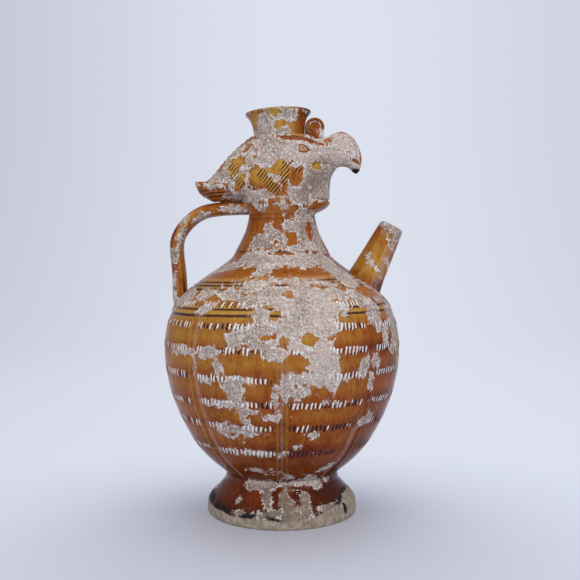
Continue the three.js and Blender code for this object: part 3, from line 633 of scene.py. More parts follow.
def strokeFields(turn, radius, height):        # rows of combed strokes: depth, chalk fill and dark fill
    depth, chalk, dark = np.zeros((3, len(turn)))
    crusted = layeredNoise(np.stack([radius * np.cos(turn), radius * np.sin(turn), height], 1), 24, 31)
    for row, level in enumerate(wall["strokeRows"]):
        near = np.abs(height - level) < wall["strokeHeight"] + 2.5
        arc = (turn[near] + math.pi / 2) * wallRadius(level)
        right = np.degrees(turn[near]) + 90
        rise = height[near] - level - np.interp(right, *wall["drift"].get(level, ((0, 1), (0, 0))))
        slot = np.floor(arc / wall["strokePitch"]).astype(int)
        jitter, other = scatterValue(slot, row + 3), scatterValue(slot, row + 11, 7)
        lean = 0.26 * (other - 0.35) + 0.10
        across = arc - ((slot + 0.5 + 0.34 * (jitter - 0.5)) * wall["strokePitch"] + lean * rise)
        half = wall["strokeWidth"] * (0.42 + 0.25 * other) * (0.8 if level == 200 else 1)
        reach = wall["strokeHeight"] / 2 * (0.75 + 0.5 * jitter)
        beside = ease(half + 0.4, half - 0.35, np.abs(across - 1.15))
        upright = ease(reach + 0.5, reach - 0.5, np.abs(rise + 0.9 * (other - 0.5)))
        clear = 1
        if level < wall["seam"]:        # no strokes on the grooves between the lobes
            clear = ease(5.4, 6.6, np.abs(grooveGap(turn[near], wallRadius(level))))
        sideways = ease(half + 0.45, half - 0.3, np.abs(across))
        made = sideways * upright * clear * (jitter > 0.04)
        lowRight = ease(2, 8, right) * wall["bareRows"].get(level, 0)
        kind = scatterValue(slot, row + 29, 5) + 0.5 * crusted[near]
        filled = ease(0.12, 0.35, kind - 0.6 * lowRight) * (1 - 0.3 * lowRight)
        sideways = sideways * ease(half + 0.3, half - 0.4, np.abs(across) + 0.35 * lowRight)
        depth[near] = made
        chalk[near] = made * filled * (0.6 + 0.4 * ease(-2.2, -0.6, rise))
        dark[near] = np.maximum(made * (1 - filled) * 0.66, beside * upright * clear * (1 - sideways) * 0.9)
        dark[near] *= (0.7 if level == 200 else 1) * (1 - lowRight * (0.2 + 0.8 * ease(32, 42, right)))
    return depth, chalk, dark


def crustRows(places, height):        # worn glaze gathers along the rows of strokes, in runs
    runs = softNoise(squeeze(places, 0.15), 26, 41)
    gain = np.max([bell(height - level, 3.2) for level in wall["strokeRows"]], axis=0)
    return 4.2 * gain * ease(-0.1, 0.8, runs)


def lineShape(places, rise=0.0):        # the incised lines, or their glow a little higher up
    lift = [np.interp(places[:, 0], wall["liftAt"], wall[name]) for name in ("seamLift", "upperLift")]
    return np.max([bell(places[:, 2] - level - rise - lift[level > 200], half)
                   for level, half in zip(wall["lines"], wall["lineHalf"])], axis=0)


def wallOutline(low, high, rows, spacing):        # its places are closer together around the rows
    coarse, near, fine = spacing
    levels = [low]
    while levels[-1] < high - 0.3 * coarse:
        gap = min(abs(levels[-1] + fine / 2 - row) for row in rows)
        levels.append(levels[-1] + (fine if gap < near else coarse))
    return [(wallRadius(level), level) for level in levels[:-1] + [high]]


def dressWall(piece, node):
    places = readPlaces(piece)
    turn, radius, height = polar(places)
    right = frontTurn(places)
    outer = (radius > wallRadius(height) - 1.5) * (height > wall["base"] - 0.01)
    move, edge, pale, sheen = lobeShape(turn, radius, height)
    depth, chalk, dark = strokeFields(turn, radius, height)
    line = lineShape(places)
    glow = lineShape(places, 2.3) * 0.45
    waver = 0.5 + 0.5 * softNoise(places, 21, 9)
    trace = ease(0.1, 0.5, softNoise(squeeze(places, 0.3), 26, 34))        # lines seen through it
    # A pale pink band along the shoulder: a painted reflection of the lamps.
    paintedShine = 1.2 * bell(height - wall["sheenAt"], 2.1) * ease(-12, -2, right) * ease(34, 26, right)
    worn = wornGlaze(places) + crustRows(places, height) + edge * 0.8
    over = ease(-1.5, 2.0, worn)
    buried = 0.9 * ease(0.8, 3.2, wornGlaze(places) + 1.2 * softNoise(places, 6, 33))
    shape = move + handWobble(places) - depth * (1 - buried) * wall["strokeDepth"] - line * wall["lineDepth"]
    writePlaces(piece, moveOut(places, shape * outer))
    finishPiece(piece, node, "amber_glaze", places, worn, toneRound(places) + 0.07 * edge * (1 - over),
                chalk=chalk * outer * (1 - buried), cut=dark * outer * (1 - buried) * (1 - 0.5 * over),
                line=line * np.maximum((1 - over) * (0.8 + 0.2 * waver), 0.62 * trace),
                gold=np.maximum(pale * (0.5 + 0.5 * waver), glow) * (1 - over),
                sheen=sheen * (0.45 + 0.6 * waver) + paintedShine)


def makeBelly():
    outer = wallOutline(wall["base"], wall["seam"], wall["strokeRows"], wall["bellySpacing"])
    outline = [(0.0, wall["base"])] + outer + wall["bellyInner"] + [(0.0, wall["floorTop"])]
    dressWall(spinOutline("belly", outline, wall["steps"]), "lower_body")


def makeShoulder():
    outer = wallOutline(wall["seam"], wall["collar"], wall["lines"] + (200,), wall["shoulderSpacing"])
    piece = spinOutline("shoulderDome", outer + wall["shoulderInner"], wall["steps"])
    clearSelection()
    bpy.ops.mesh.primitive_cylinder_add(
        vertices=spoutHole["sides"], radius=spoutHole["radius"] * mm, depth=spoutHole["depth"] * mm,
        location=spoutHole["place"], rotation=(0, math.radians(spoutHole["lean"]), 0))
    drill = bpy.context.object
    hole = piece.modifiers.new("spoutHole", "BOOLEAN")
    hole.operation = "DIFFERENCE"
    hole.object = drill
    hole.solver = "EXACT"
    pickPiece(piece)
    bpy.ops.object.modifier_apply(modifier="spoutHole")
    bpy.data.objects.remove(drill)
    dressWall(piece, "shoulder")


def onOutline(places, outline):        # true on the outer face of a turned wall
    return np.hypot(places[:, 0], places[:, 1]) > radiusAt(outline, places[:, 2]) - 2


# Neck, with the collar ridge at its root

neckShape = {
    "outline": [(49.4, 240.2), (47.4, 242.2), (46.1, 244.0), (45.3, 246.0), (44.3, 248), (42.6, 251), (40.4, 255),
                (37.9, 260), (35.6, 265), (33.9, 270), (32.7, 275), (31.8, 279), (31.4, 282.2)],
    "inner": [(24.5, 282.2), (26.5, 270), (34, 254), (41.4, 240.2)], "rows": 64, "steps": 640,
    "collarLine": 246.8, "line": 277, "marks": ((-62, -52), (-19, 13), (20, 48)),
}


def makeNeck():
    outer = smoothRows(neckShape["outline"], neckShape["rows"])
    piece = spinOutline("neckCone", outer + neckShape["inner"], neckShape["steps"])
    places = readPlaces(piece)
    height, right = places[:, 2], frontTurn(places)
    worn = wornGlaze(places)
    over = ease(-1, 2.5, worn)
    collar = height - neckShape["collarLine"]
    ring = bell(collar, 0.9)
    upper = 0.6 * bell(height - neckShape["line"], 0.7)
    marks = np.max([ease(start - 3, start + 3, right) * ease(end + 3, end - 3, right)
                    for start, end in neckShape["marks"]], axis=0)
    marks = marks * bell(collar + 0.7 - 0.7 * softNoise(places, 20, 91), 1.2)
    shape = (handWobble(places) - 0.5 * ring - 0.3 * upper) * onOutline(places, outer)
    writePlaces(piece, moveOut(places, shape))
    line = np.maximum(np.maximum(0.55 * ring, upper) * (1 - over), marks * 0.66)
    finishPiece(piece, "neck", "amber_glaze", places, worn, toneRound(places), line=line)


# Foot: glazed down to a bare clay edge, with black beads where the glaze stops

footShape = {
    "outer": [(69.6, 0), (70.6, 0.8), (71, 2.5), (71, 7), (70.6, 11), (69.5, 13.6), (68, 15.8), (65.8, 18.2),
              (63.3, 20.7), (60.8, 23.3), (58.5, 26), (56.3, 28.6), (54.6, 31), (53.6, 34), (53.3, 38.8)],
    "inner": [(44.3, 38.8), (44.3, 27), (52, 15), (57.5, 7), (59.8, 0)], "rows": 72, "steps": 768,
    "stopTurns": [-180, -120, -80, -45, 0, 22, 34, 50, 62, 80, 110, 180],
    "stops": [11, 14, 13, 10, 8.6, 9, 13, 15, 21, 23, 14, 11],        # how high the bare clay reaches
    "spreadTurns": [-75, -50, -38, -1, 4], "spreads": [4.6, 3.6, 1.9, 1.7, 1.1],
    "glowSpots": [(0.16, -22, 12, 26, 8), (0.10, -60, 16, 30, 9)], "dripTurn": 56,
}


def makeFoot():
    outer = smoothRows(footShape["outer"], footShape["rows"])
    piece = spinOutline("footRing", outer + footShape["inner"], footShape["steps"])
    places = readPlaces(piece)
    height, right, onWall = places[:, 2], frontTurn(places), onOutline(places, outer)
    writePlaces(piece, moveOut(places, handWobble(places) * onWall * ease(0, 3, height)))
    edge = np.interp(right, footShape["stopTurns"], footShape["stops"])
    edge = edge + addNoises(places, (1.0, 13, 21), (0.6, 4, 22), (0.35, 1.6, 24))
    clay = np.maximum(ease(edge + 0.4, edge - 0.4, height), 1 - onWall)
    worn = wornRound(places)
    many = np.where(right < -1, 0.8, np.where(right < 45, 0.0, 0.55)) * (right > -110)
    spread = np.interp(right, footShape["spreadTurns"], footShape["spreads"]) + softNoise(places, 3.5, 25)
    beads = ease(spread + 0.6, spread - 0.2, np.abs(height - edge - 1.6))
    beads = beads * ease(0.15, 0.4, layeredNoise(places, 9, 23) + many)
    beads = beads * ease(-0.3, 0.3, height - edge) * ease(2.6, 0.6, worn)
    aside = np.abs(np.radians(right - footShape["dripTurn"]) * 70 + 2 * softNoise(places, 4, 26))
    drip = ease(3.2, 2.0, aside) * ease(5.6, 7, height) * (height < 16)
    tone = toneRound(places) - addSpots(right, height, footShape["glowSpots"])
    finishPiece(piece, "foot", "brown_glaze", places, worn, tone + 0.1 * ease(7, 2, height - edge),
                ink=np.maximum(beads, drip) * onWall, clay=clay)


for makeTurned in (makeBelly, makeShoulder, makeNeck, makeFoot):
    makeTurned()
print("turned pieces ready")


# Wrapped pieces: a grid primitive rolled into a tube, with u round it and v along it

def wrapGrid(name, grid, shape):        # grid is the count of columns and of rows
    clearSelection()
    bpy.ops.mesh.primitive_grid_add(x_subdivisions=grid[0], y_subdivisions=grid[1], size=1)
    piece = nameNew(name)
    flat = readPlaces(piece) * mm
    writePlaces(piece, shape(flat[:, 0] + 0.5, flat[:, 1] + 0.5))
    closeMesh(2e-6)
    return piece


def roundedTurn(u, fullness):        # a superellipse of unit half axes; u from 0 to 1 goes round it
    angle = 2 * math.pi * u
    soften = lambda value: np.sign(value) * np.abs(value) ** (2 / fullness)
    return soften(np.cos(angle)), soften(np.sin(angle))


def closeEnds(v, part):        # 1 along the run, falling to 0 over that part of it at either end
    return np.sqrt(np.clip(np.minimum(v, 1 - v) / part, 0, 1))


def ribPlaces(rib, up, close):        # x and height on ribs: up is 1 at their upper ends and -1 at the lower
    middle, arm = (rib[:, 0:2] + rib[:, 2:4]) / 2, (rib[:, 0:2] - rib[:, 2:4]) / 2
    return (middle + arm * up[:, None] * close[:, None]).T


def ribSkin(look, ends):        # ribs are (upper x, z, lower x, z, half width); the ends close
    def shape(u, v):
        rib = flowThrough(look["ribs"], np.clip((v - ends) / (1 - 2 * ends), 0, 1))
        close = closeEnds(v, ends)
        up, across = roundedTurn(u, look["fullness"])
        x, height = ribPlaces(rib, up, close)
        return np.stack([x, rib[:, 4] * across * close, height], 1)
    return shape


def bandMask(places, bands):        # bands are (start x, z), (end x, z), half width, in mm
    best = np.zeros(len(places))
    for start, end, half in bands:
        run = np.array(end, float) - np.array(start, float)
        length = np.hypot(*run)
        dx, dz = places[:, 0] - start[0], places[:, 2] - start[1]
        along = (dx * run[0] + dz * run[1]) / length
        off = (dz * run[0] - dx * run[1]) / length
        inside = ease(-0.8, 0.8, along) * ease(length + 0.8, length - 0.8, along)
        best = np.maximum(best, inside * ease(half + 0.5, half - 0.5, np.abs(off)))
    return best


# Head: a hollow bulb, open below to the neck and above to the cup

headShape = {
    "rows": [(282.2, 31.4, 31.4, 31.4), (284.6, 33.0, 33.4, 32.2), (289.5, 36.2, 36.6, 33.6),
             (297, 39.0, 39.2, 35.0), (308.8, 40.8, 40.5, 36), (323.5, 41, 41.5, 36),
             (336, 38.1, 41.1, 34.6), (346.4, 33.2, 38.6, 31), (352.3, 29.9, 35.3, 28.1), (356, 27, 32.8, 25.6)],
    "innerRows": [(356, 17, 17, 17), (349, 17, 17, 17), (326.5, 29, 29, 29), (304.3, 29, 29, 29),
                  (286.6, 24.5, 24.5, 24.5), (282.2, 24.5, 24.5, 24.5)],
    "fullness": 2.15, "grid": (400, 174), "outerRows": 150,
    "skinRadius": 29.6, "skinHeights": (282.3, 355.9),        # what is farther out and between them is skin
    "hatch": [((-22, 322), (-3, 300), 4.4), ((5, 330), (0, 309), 4.2), ((-18, 304), (-10, 296), 3.0),
              ((16, 326), (14, 318), 3.0), ((29, 330), (37, 322), 3.2)],
}


def makeHead():
    outerRows, total = headShape["outerRows"], headShape["grid"][1]

    def shape(u, v):
        row = v * total
        outside = flowThrough(headShape["rows"], row / outerRows)
        inside = flowThrough(headShape["innerRows"], (row - outerRows - 1) / (total - outerRows - 2))
        first = flowThrough(headShape["rows"], np.zeros(len(v)))
        size = np.where((row <= outerRows + 0.01)[:, None], outside, inside)
        size = np.where((row > total - 0.99)[:, None], first, size)
        along, across = roundedTurn(u, headShape["fullness"])
        reach = np.where(along < 0, size[:, 1], size[:, 2])
        return np.stack([reach * along, size[:, 3] * across, size[:, 0]], 1)

    piece = wrapGrid("headBulb", headShape["grid"], shape)
    places = readPlaces(piece)
    low, high = headShape["skinHeights"]
    outer = np.hypot(places[:, 0], places[:, 1]) > headShape["skinRadius"]
    outer = outer * (places[:, 2] > low) * (places[:, 2] < high)
    writePlaces(piece, alongNormals(piece, places, outer * handWobble(places)))
    finishPiece(piece, "head", "olive_glaze", places, wornGlaze(places), toneSide(places),
                hatch=bandMask(places, headShape["hatch"]))


# Mouth cup: flared, with a rounded lip, leaning back towards the handle

cupShape = {
    "outer": [(25.2, -1.5), (24, 0.2), (23.9, 3), (24.4, 7), (25.4, 12), (27.0, 16.6), (29.4, 20), (31.0, 21.9),
              (31.3, 23)],
    "lip": [(31.1, 23.5), (30.2, 23.8), (28.4, 23.9), (27, 23.6)],
    "inner": [(26, 22), (24.2, 18.2), (22, 14), (20.4, 9.6), (18, 5), (17, 1), (17, -1.5)],
    "counts": {"outer": 60, "lip": 9, "inner": 20}, "steps": 384,
    "lean": -3, "setBack": -2.4, "seat": 356, "sunk": -1.2,
}


def makeCup():
    piece = spinOutline("mouthCup", lippedOutline(cupShape), cupShape["steps"])
    places = readPlaces(piece)
    x, height = leanOver(places, cupShape["lean"])
    x, height = x + cupShape["setBack"], np.maximum(height, cupShape["sunk"]) + cupShape["seat"]
    places = np.stack([x, places[:, 1], height], 1)
    writePlaces(piece, places)
    writePlaces(piece, alongNormals(piece, places, 0.6 * handWobble(places)))
    onLip = 2.6 * ease(378.6, 379.6, height) - 30 * (height < 378.4)
    tone = toneSide(places) - 0.1 + 0.34 * bell(x + 32, 6) + 0.54 * ease(6, 18, x)
    tone = tone + 0.14 * softNoise(squeeze(places, 0.3), 4, 78)
    finishPiece(piece, "mouth_cup", "olive_glaze", places, wornSide(places, onLip), tone)


# Beak: closed and hooked, with a drop of black glaze at its tip

beakShape = {
    "ribs": [(26, 354.8, 28, 324, 21), (33.8, 355.5, 36.4, 323.3, 20.2), (42.2, 356.3, 47.5, 323.5, 17.4),
             (50.3, 359.9, 53.4, 327.7, 15), (58, 361.3, 58.3, 328.6, 13), (66.7, 356.5, 62.7, 327.8, 10.8),
             (72.7, 348.5, 65.3, 325.9, 8.6), (76, 337.1, 67.2, 323.7, 6.4), (75.5, 329.1, 69, 322.5, 4.2),
             (73.5, 323.7, 71.1, 321.7, 2)],
    "fullness": 2.3, "grid": (220, 180), "end": 0.04,
    "wrinkles": [([50, 62, 72, 76.5], [341.5, 340, 334.5, 327], 1.0),
                 ([52, 62, 70, 75], [347, 346.5, 343, 337], 0.5), ([48, 56, 64], [333, 334, 331.5], 0.5)],
}


def makeBeak():
    piece = wrapGrid("hookedBeak", beakShape["grid"], ribSkin(beakShape, beakShape["end"]))
    places = readPlaces(piece)
    x, height = places[:, 0], places[:, 2]
    wrinkle = np.zeros(len(places))
    for xs, levels, gain in beakShape["wrinkles"]:
        level = np.interp(x, xs, levels, left=-999)
        wrinkle = np.maximum(wrinkle, gain * bell(height - level - 0.6 * softNoise(places, 9, 55), 0.8))
    drop = ease(327, 325, height) * ease(66, 68, x)
    uppers = smoothRows([rib[0:2] for rib in beakShape["ribs"][2:9]], 60)
    crown = np.min([np.hypot(x - upperX, height - upperZ) for upperX, upperZ in uppers], axis=0)
    ridge = 1.6 - crown * 0.9 - 6 * ease(52, 46, x)
    writePlaces(piece, alongNormals(piece, places, handWobble(places) - 0.6 * wrinkle))
    finishPiece(piece, "beak", "worn_glaze", places, wornSide(places, ridge), toneSide(places), ink=drop,
                chalk=wrinkle * 0.45)


# Wattle: a slab down the throat, rolled at its lower edge and flowing up into the beak

wattleShape = {
    "levels": [(283.4, -9.8), (285.6, -5), (288.1, -0.3), (291.7, 3.5), (294, 4.1), (295.6, 2.7), (298, 3.8),
               (304, 4.0), (309.9, 4.3), (315.8, 5.0), (319.5, 6.2), (322.6, 7.8), (325.4, 9.8), (328, 10.6)],
    "span": 50, "front": 41.5, "side": 36, "root": 0.62, "fullness": 2.15, "grid": (240, 130),
    "rollLine": 295.8,
}


def makeWattle():
    def shape(u, v):
        level = flowThrough(wattleShape["levels"], np.clip((v - 0.03) / 0.94, 0, 1))
        face = np.clip(u * 1.5, 0, 1) * 2 - 1
        back = np.clip((u - 2 / 3) * 3, 0, 1)
        angle = np.radians(wattleShape["span"]) * np.where(u < 2 / 3, face, 1 - 2 * back)
        proud = level[:, 1] - (level[:, 1] + 3.4) * np.abs(face) ** np.where(level[:, 0] < 296, 5, 2.6)
        edge = ease(0, 0.03, np.minimum(v, 1 - v))
        root = wattleShape["root"]
        scale = np.where(u < 2 / 3, root + (1 - root) * edge, root)
        along, across = roundedTurn(angle / (2 * math.pi), wattleShape["fullness"])
        return np.stack([(wattleShape["front"] + proud) * along * scale,
                         (wattleShape["side"] + proud) * across * scale, level[:, 0]], 1)

    piece = wrapGrid("throatWattle", wattleShape["grid"], shape)
    places = readPlaces(piece)
    line = bell(places[:, 2] - wattleShape["rollLine"], 1.0) * ease(30, 34, places[:, 0])
    finishPiece(piece, "wattle", "worn_glaze", places, wornSide(places), toneSide(places), line=line * 0.9)


# Plume: swept-back feathers, with an upturned point and incised lines along its lower edge

plumeShape = {
    "ribs": [(-10, 352, -10, 302, 26), (-18, 356, -18, 297.5, 31), (-26.4, 357, -27, 296, 31.2),
             (-31, 355, -32, 295.6, 30), (-37.4, 349.8, -38.8, 295.2, 29), (-47.9, 340.3, -49.6, 294.8, 27),
             (-56.6, 330.6, -59.5, 294.6, 23.4), (-63.3, 322, -67, 295.2, 19.2), (-70.3, 315.2, -72.6, 297.8, 14),
             (-76.5, 313.9, -78.2, 302.4, 8.8), (-82.4, 314.4, -82.3, 309.0, 2.9)],
    "fullness": 2.4, "grid": (260, 200), "end": 0.03,
    "lines": [298.6, 301.6, 304.6],
    "hatch": [((-52, 331), (-38, 316), 3.4), ((-47, 317), (-36, 308), 3.4), ((-33, 336), (-27, 322), 3.0)],
}


def makePlume():
    piece = wrapGrid("neckPlume", plumeShape["grid"], ribSkin(plumeShape, plumeShape["end"]))
    places = readPlaces(piece)
    x, height = places[:, 0], places[:, 2]
    uppers = np.array([rib[0:2] for rib in plumeShape["ribs"]])[::-1]
    depth = np.interp(x, uppers[:, 0], uppers[:, 1]) - height
    worn = wornSide(places, np.where(x > -60, 4.6, 2.0) - depth * 0.8 + np.where((x < -60) & (x > -70), -4, 0))
    over = ease(-1, 2, worn)
    lines = np.max([bell(height - level - 0.05 * (x + 60), 0.75) for level in plumeShape["lines"]], axis=0)
    lines = lines * ease(-43, -48, x) * ease(-80, -75, x)
    barbs = np.sin((x * 0.7 + height * 0.72) * 1.1 + 1.5 * softNoise(places, 12, 51))
    barbs = barbs * 0.25 * ease(-27, -34, x)
    writePlaces(piece, alongNormals(piece, places, handWobble(places) + barbs - 0.5 * lines))
    finishPiece(piece, "plume", "amber_glaze", places, worn, toneSide(places), line=lines * (1 - 0.6 * over),
                hatch=bandMask(places, plumeShape["hatch"]))


# Crest curl: a band of clay rolled into a scroll, with a spiral on each side

curlShape = {"centre": (31.1, 364.83), "radius": 9.2, "halfWidth": 9.5, "turns": 1.5, "edge": 2.4,
             "ticks": 24, "grid": (180, 120), "cap": 0.3, "flat": 0.75}


def makeCurl():
    centre, size = curlShape["centre"], curlShape["radius"]

    def shape(u, v):
        angle, edge, flat = 2 * math.pi * u, curlShape["edge"], curlShape["flat"]
        cap = np.clip(np.minimum(v, 1 - v) / curlShape["cap"], 0, 1)        # 0 in the middle of a side
        corner = np.clip((cap - flat) / (1 - flat), 0, 1)
        disc = (size - edge) * np.clip(cap / flat, 0, 1)
        radius = np.where(cap < flat, disc, size - edge + edge * np.sin(corner * math.pi / 2))
        dome = 0.7 * (1 - (radius / size) ** 2)
        half = curlShape["halfWidth"] - 0.7 + dome
        half = half - np.where(cap < flat, 0, edge * (1 - np.cos(corner * math.pi / 2)))
        middle = np.clip((v - 0.3) / 0.4, 0, 1) * 2 - 1
        y = np.where(cap < 1, np.sign(v - 0.5) * half, middle * (curlShape["halfWidth"] - edge - 0.7))
        steep = np.maximum(-np.sin(angle), 1e-6)        # below, the curl stands on a short root
        side = np.where(np.cos(angle) < 0, 1.02, 0.90)
        root = np.minimum(side / np.maximum(np.abs(np.cos(angle)), 1e-6), 1.26 / steep) * (np.sin(angle) < 0)
        radius = radius * np.maximum(root, 1)
        return np.stack([centre[0] + radius * np.cos(angle), y, centre[1] + radius * np.sin(angle)], 1)

    piece = wrapGrid("crestCurl", curlShape["grid"], shape)
    places = readPlaces(piece)
    dx, dz = places[:, 0] - centre[0], places[:, 2] - centre[1]
    radius, turn = np.hypot(dx, dz), np.arctan2(dz, -dx) / (2 * math.pi)
    step = 0.66 * size / curlShape["turns"]
    onSide = ease(7.9, 8.6, np.abs(places[:, 1]))
    lap = (radius - 0.16 * size) / step - turn
    groove = bell((lap - np.round(lap)) * step, 0.6) * ease(8.4, 7.4, radius) * onSide
    ticks = ease(0.2, 0.8, np.cos(turn * 2 * math.pi * curlShape["ticks"]))
    ticks = ticks * ease(6.6, 7.2, radius) * onSide
    writePlaces(piece, alongNormals(piece, places, -0.5 * groove - 0.3 * ticks))
    filled = ease(-0.2, 0.3, softNoise(places, 6, 61))
    finishPiece(piece, "crest_curl", "amber_glaze", places, wornSide(places) - 1.5, toneSide(places) + 0.08,
                line=groove * 0.9 * (1 - 0.5 * filled), chalk=0.6 * bell(radius - 5.4, 0.6) * filled * onSide,
                cut=ticks * 0.5 * ease(0, -4, dx))


# Eyes and brows, one of each on either side

eyeShape = {"centre": (18.3, 341.6), "length": 15, "height": 8.6, "proud": 2.0, "tilt": -8, "tone": 0.42,
            "segments": 96, "rings": 48}
browShape = {"ribs": [(-2, 353.2, -2, 350.6), (8, 354.0, 8, 350.2), (20, 353.4, 20.6, 349.4),
                      (29, 351.2, 29.8, 347.8), (35.2, 347.9, 35.2, 346.4)],
             "grid": (48, 120), "end": 0.05, "proud": 1.5}


def headSideAt(x, height):        # the half width of the head's skin at a place on its side
    rows = np.array(headShape["rows"])
    front = np.interp(height, rows[:, 0], rows[:, 2])
    side = np.interp(height, rows[:, 0], rows[:, 3])
    share = np.clip(np.abs(x) / front, 0, 0.995)
    return side * (1 - share ** headShape["fullness"]) ** (1 / headShape["fullness"])


def makeEye(name, node, side):
    spot = eyeShape["centre"]
    clearSelection()
    bpy.ops.mesh.primitive_uv_sphere_add(segments=eyeShape["segments"], ring_count=eyeShape["rings"], radius=mm)
    piece = nameNew(name)
    ball = readPlaces(piece)
    lid = np.abs(ball[:, 0]) ** 2.2        # the corners of the eye are drawn out to points
    along = ball[:, 0] * eyeShape["length"] / 2 * (1 + 0.12 * lid)
    up = ball[:, 2] * eyeShape["height"] / 2 * (1 - 0.35 * lid)
    tilt = math.radians(eyeShape["tilt"])
    x = spot[0] + along * math.cos(tilt) - up * math.sin(tilt)
    height = spot[1] + up * math.cos(tilt) + along * math.sin(tilt)
    facing = np.maximum(ball[:, 1] * side, 0)
    y = side * (headSideAt(x, height) - 0.8 + facing * eyeShape["proud"] * 1.4 - 2.0 * (ball[:, 1] * side < 0))
    places = np.stack([x, y, height], 1)
    writePlaces(piece, places)
    closeMesh(1e-7)
    rimmed = np.hypot(along / (eyeShape["length"] / 2), up / (eyeShape["height"] / 2))
    upperLid = ease(0.58, 0.72, rimmed) * ease(-0.5, 1.0, up)
    lowerLid = ease(0.66, 0.80, rimmed) * ease(0.5, -1.0, up)
    corner = ease(1.8, 3.4, along)
    worn = 2.5 - 6.5 * np.maximum(corner, ease(-4.5, -2.0, along))
    line = np.maximum(np.maximum(upperLid, 0.6 * lowerLid), 0.5 * bell(along - 1.6, 0.8) * bell(up, 2.4))
    # The eye's pale middle is its own colour, laid on with the same pale paint that paints reflections elsewhere.
    finishPiece(piece, node, "worn_glaze", places, worn, np.full(len(places), eyeShape["tone"]), line=line,
                sheen=0.7 * ease(0.7, 0.5, rimmed))


def makeBrow(name, node, side):
    ribs = browShape["ribs"]

    def shape(u, v):
        angle = 2 * math.pi * u
        end = closeEnds(v, browShape["end"])
        x, height = ribPlaces(flowThrough(ribs, v), np.cos(angle), end)
        out = headSideAt(x, height) - 0.5 + browShape["proud"] * np.sin(angle) * end
        return np.stack([x, side * out, height], 1)

    piece = wrapGrid(name, browShape["grid"], shape)
    places = readPlaces(piece)
    upper = np.interp(places[:, 0], [row[0] for row in ribs], [row[1] for row in ribs])
    line = ease(1.4, 0.6, upper - places[:, 2])
    finishPiece(piece, node, "amber_glaze", places, wornSide(places) - 2, toneSide(places) + 0.1,
                line=line * 0.9)


# Handle: a pulled strap, fluted along its outer face

handleShape = {
    "path": [(-89, 193), (-95.1, 199), (-97.0, 208), (-97.6, 220), (-98.6, 232.6), (-99.9, 245), (-99.9, 256),
             (-96.8, 264.8), (-90.9, 272.9), (-83.2, 279.8), (-72.9, 285.2), (-59.2, 287.4), (-45, 288.3),
             (-33.6, 288.6), (-22, 288.7)],
    "thick": 12.6, "wide": 21, "spread": 0.3, "fullness": 2.5, "flute": 4.4, "end": 0.012,
    "grid": (160, 320), "inside": (-60, 245), "middles": 160,
}


def makeHandle():
    line = handleShape["path"]

    def shape(u, v):
        here = flowThrough(line, v)
        ahead = flowThrough(line, np.clip(v + 0.004, 0, 1)) - flowThrough(line, np.clip(v - 0.004, 0, 1))
        ahead /= np.hypot(ahead[:, 0], ahead[:, 1])[:, None]
        out, across = roundedTurn(u, handleShape["fullness"])
        width = across * handleShape["wide"] / 2
        spread = 1 + handleShape["spread"] * bell(v, 0.14)
        end = closeEnds(v, handleShape["end"])
        flutes = (bell(width - handleShape["flute"], 1.3) + bell(width + handleShape["flute"], 1.3)) * (out > 0)
        crest = 0.5 * bell(width, 1.6) * (out > 0)
        depth = (out * handleShape["thick"] / 2 - flutes + crest) * spread * end
        return np.stack([here[:, 0] - ahead[:, 1] * depth, width * spread * end,
                         here[:, 1] + ahead[:, 0] * depth], 1)

    piece = wrapGrid("strapHandle", handleShape["grid"], shape)
    places = readPlaces(piece)
    writePlaces(piece, alongNormals(piece, places, 1.3 * handWobble(places)))
    side, height = np.abs(places[:, 1]), places[:, 2]
    middle = flowThrough(line, np.linspace(0, 1, handleShape["middles"]))
    nearest = np.concatenate([
        np.hypot(some[:, 0, None] - middle[:, 0], some[:, 2, None] - middle[:, 1]).argmin(1)
        for some in np.array_split(places, 20)])
    here, inside = middle[nearest], handleShape["inside"]
    fromInside = lambda x, z: np.hypot(x - inside[0], z - inside[1])
    out = np.hypot(places[:, 0] - here[:, 0], height - here[:, 1])
    out = out * np.sign(fromInside(places[:, 0], height) - fromInside(here[:, 0], here[:, 1]))
    laid = np.stack([nearest * 0.12, out, places[:, 1]], 1)        # the strap laid out straight
    tone = 0.46 + 0.10 * softNoise(places, 18, 75) + 0.42 * layeredNoise(laid, 2.8, 76, 2)
    tone = tone + 0.25 * bell(side - handleShape["flute"], 1.0) + 0.2 * ease(215, 195, height)
    corners = 0.40 * ease(2.4, 5.2, out) + 0.30 * ease(-2.4, -5.2, out)
    tone = tone + ease(7, 9, side) * corners
    finishPiece(piece, "handle", "amber_glaze", places, wornLimb(places), tone)


# Spout: a tapered tube, slightly faceted by the knife

spoutShape = {
    "outer": [(18.8, -14), (17.9, -4), (17.0, 1), (16.2, 6), (15.6, 12), (14.6, 22), (13.5, 34), (12.4, 46),
              (11.45, 55.2)],
    "lip": [(11.2, 56.8), (10.7, 57.6), (10.0, 57.9), (8.8, 57.9), (7.9, 57.6)],
    "inner": [(7.6, 56), (8.6, 30), (10.4, 0), (10.4, -14)],
    "counts": {"outer": 90, "lip": 9, "inner": 14}, "steps": 320, "root": (79.5, 220.12), "lean": 26.6,
    "toneAt": [0, 8, 20, 40, 58], "tones": [0.55, 0.2, 0.22, 0.4, 0.5],        # along the spout from its root
    "facets": 6, "facetDepth": 0.35, "paintedGlintTurn": -78,
}


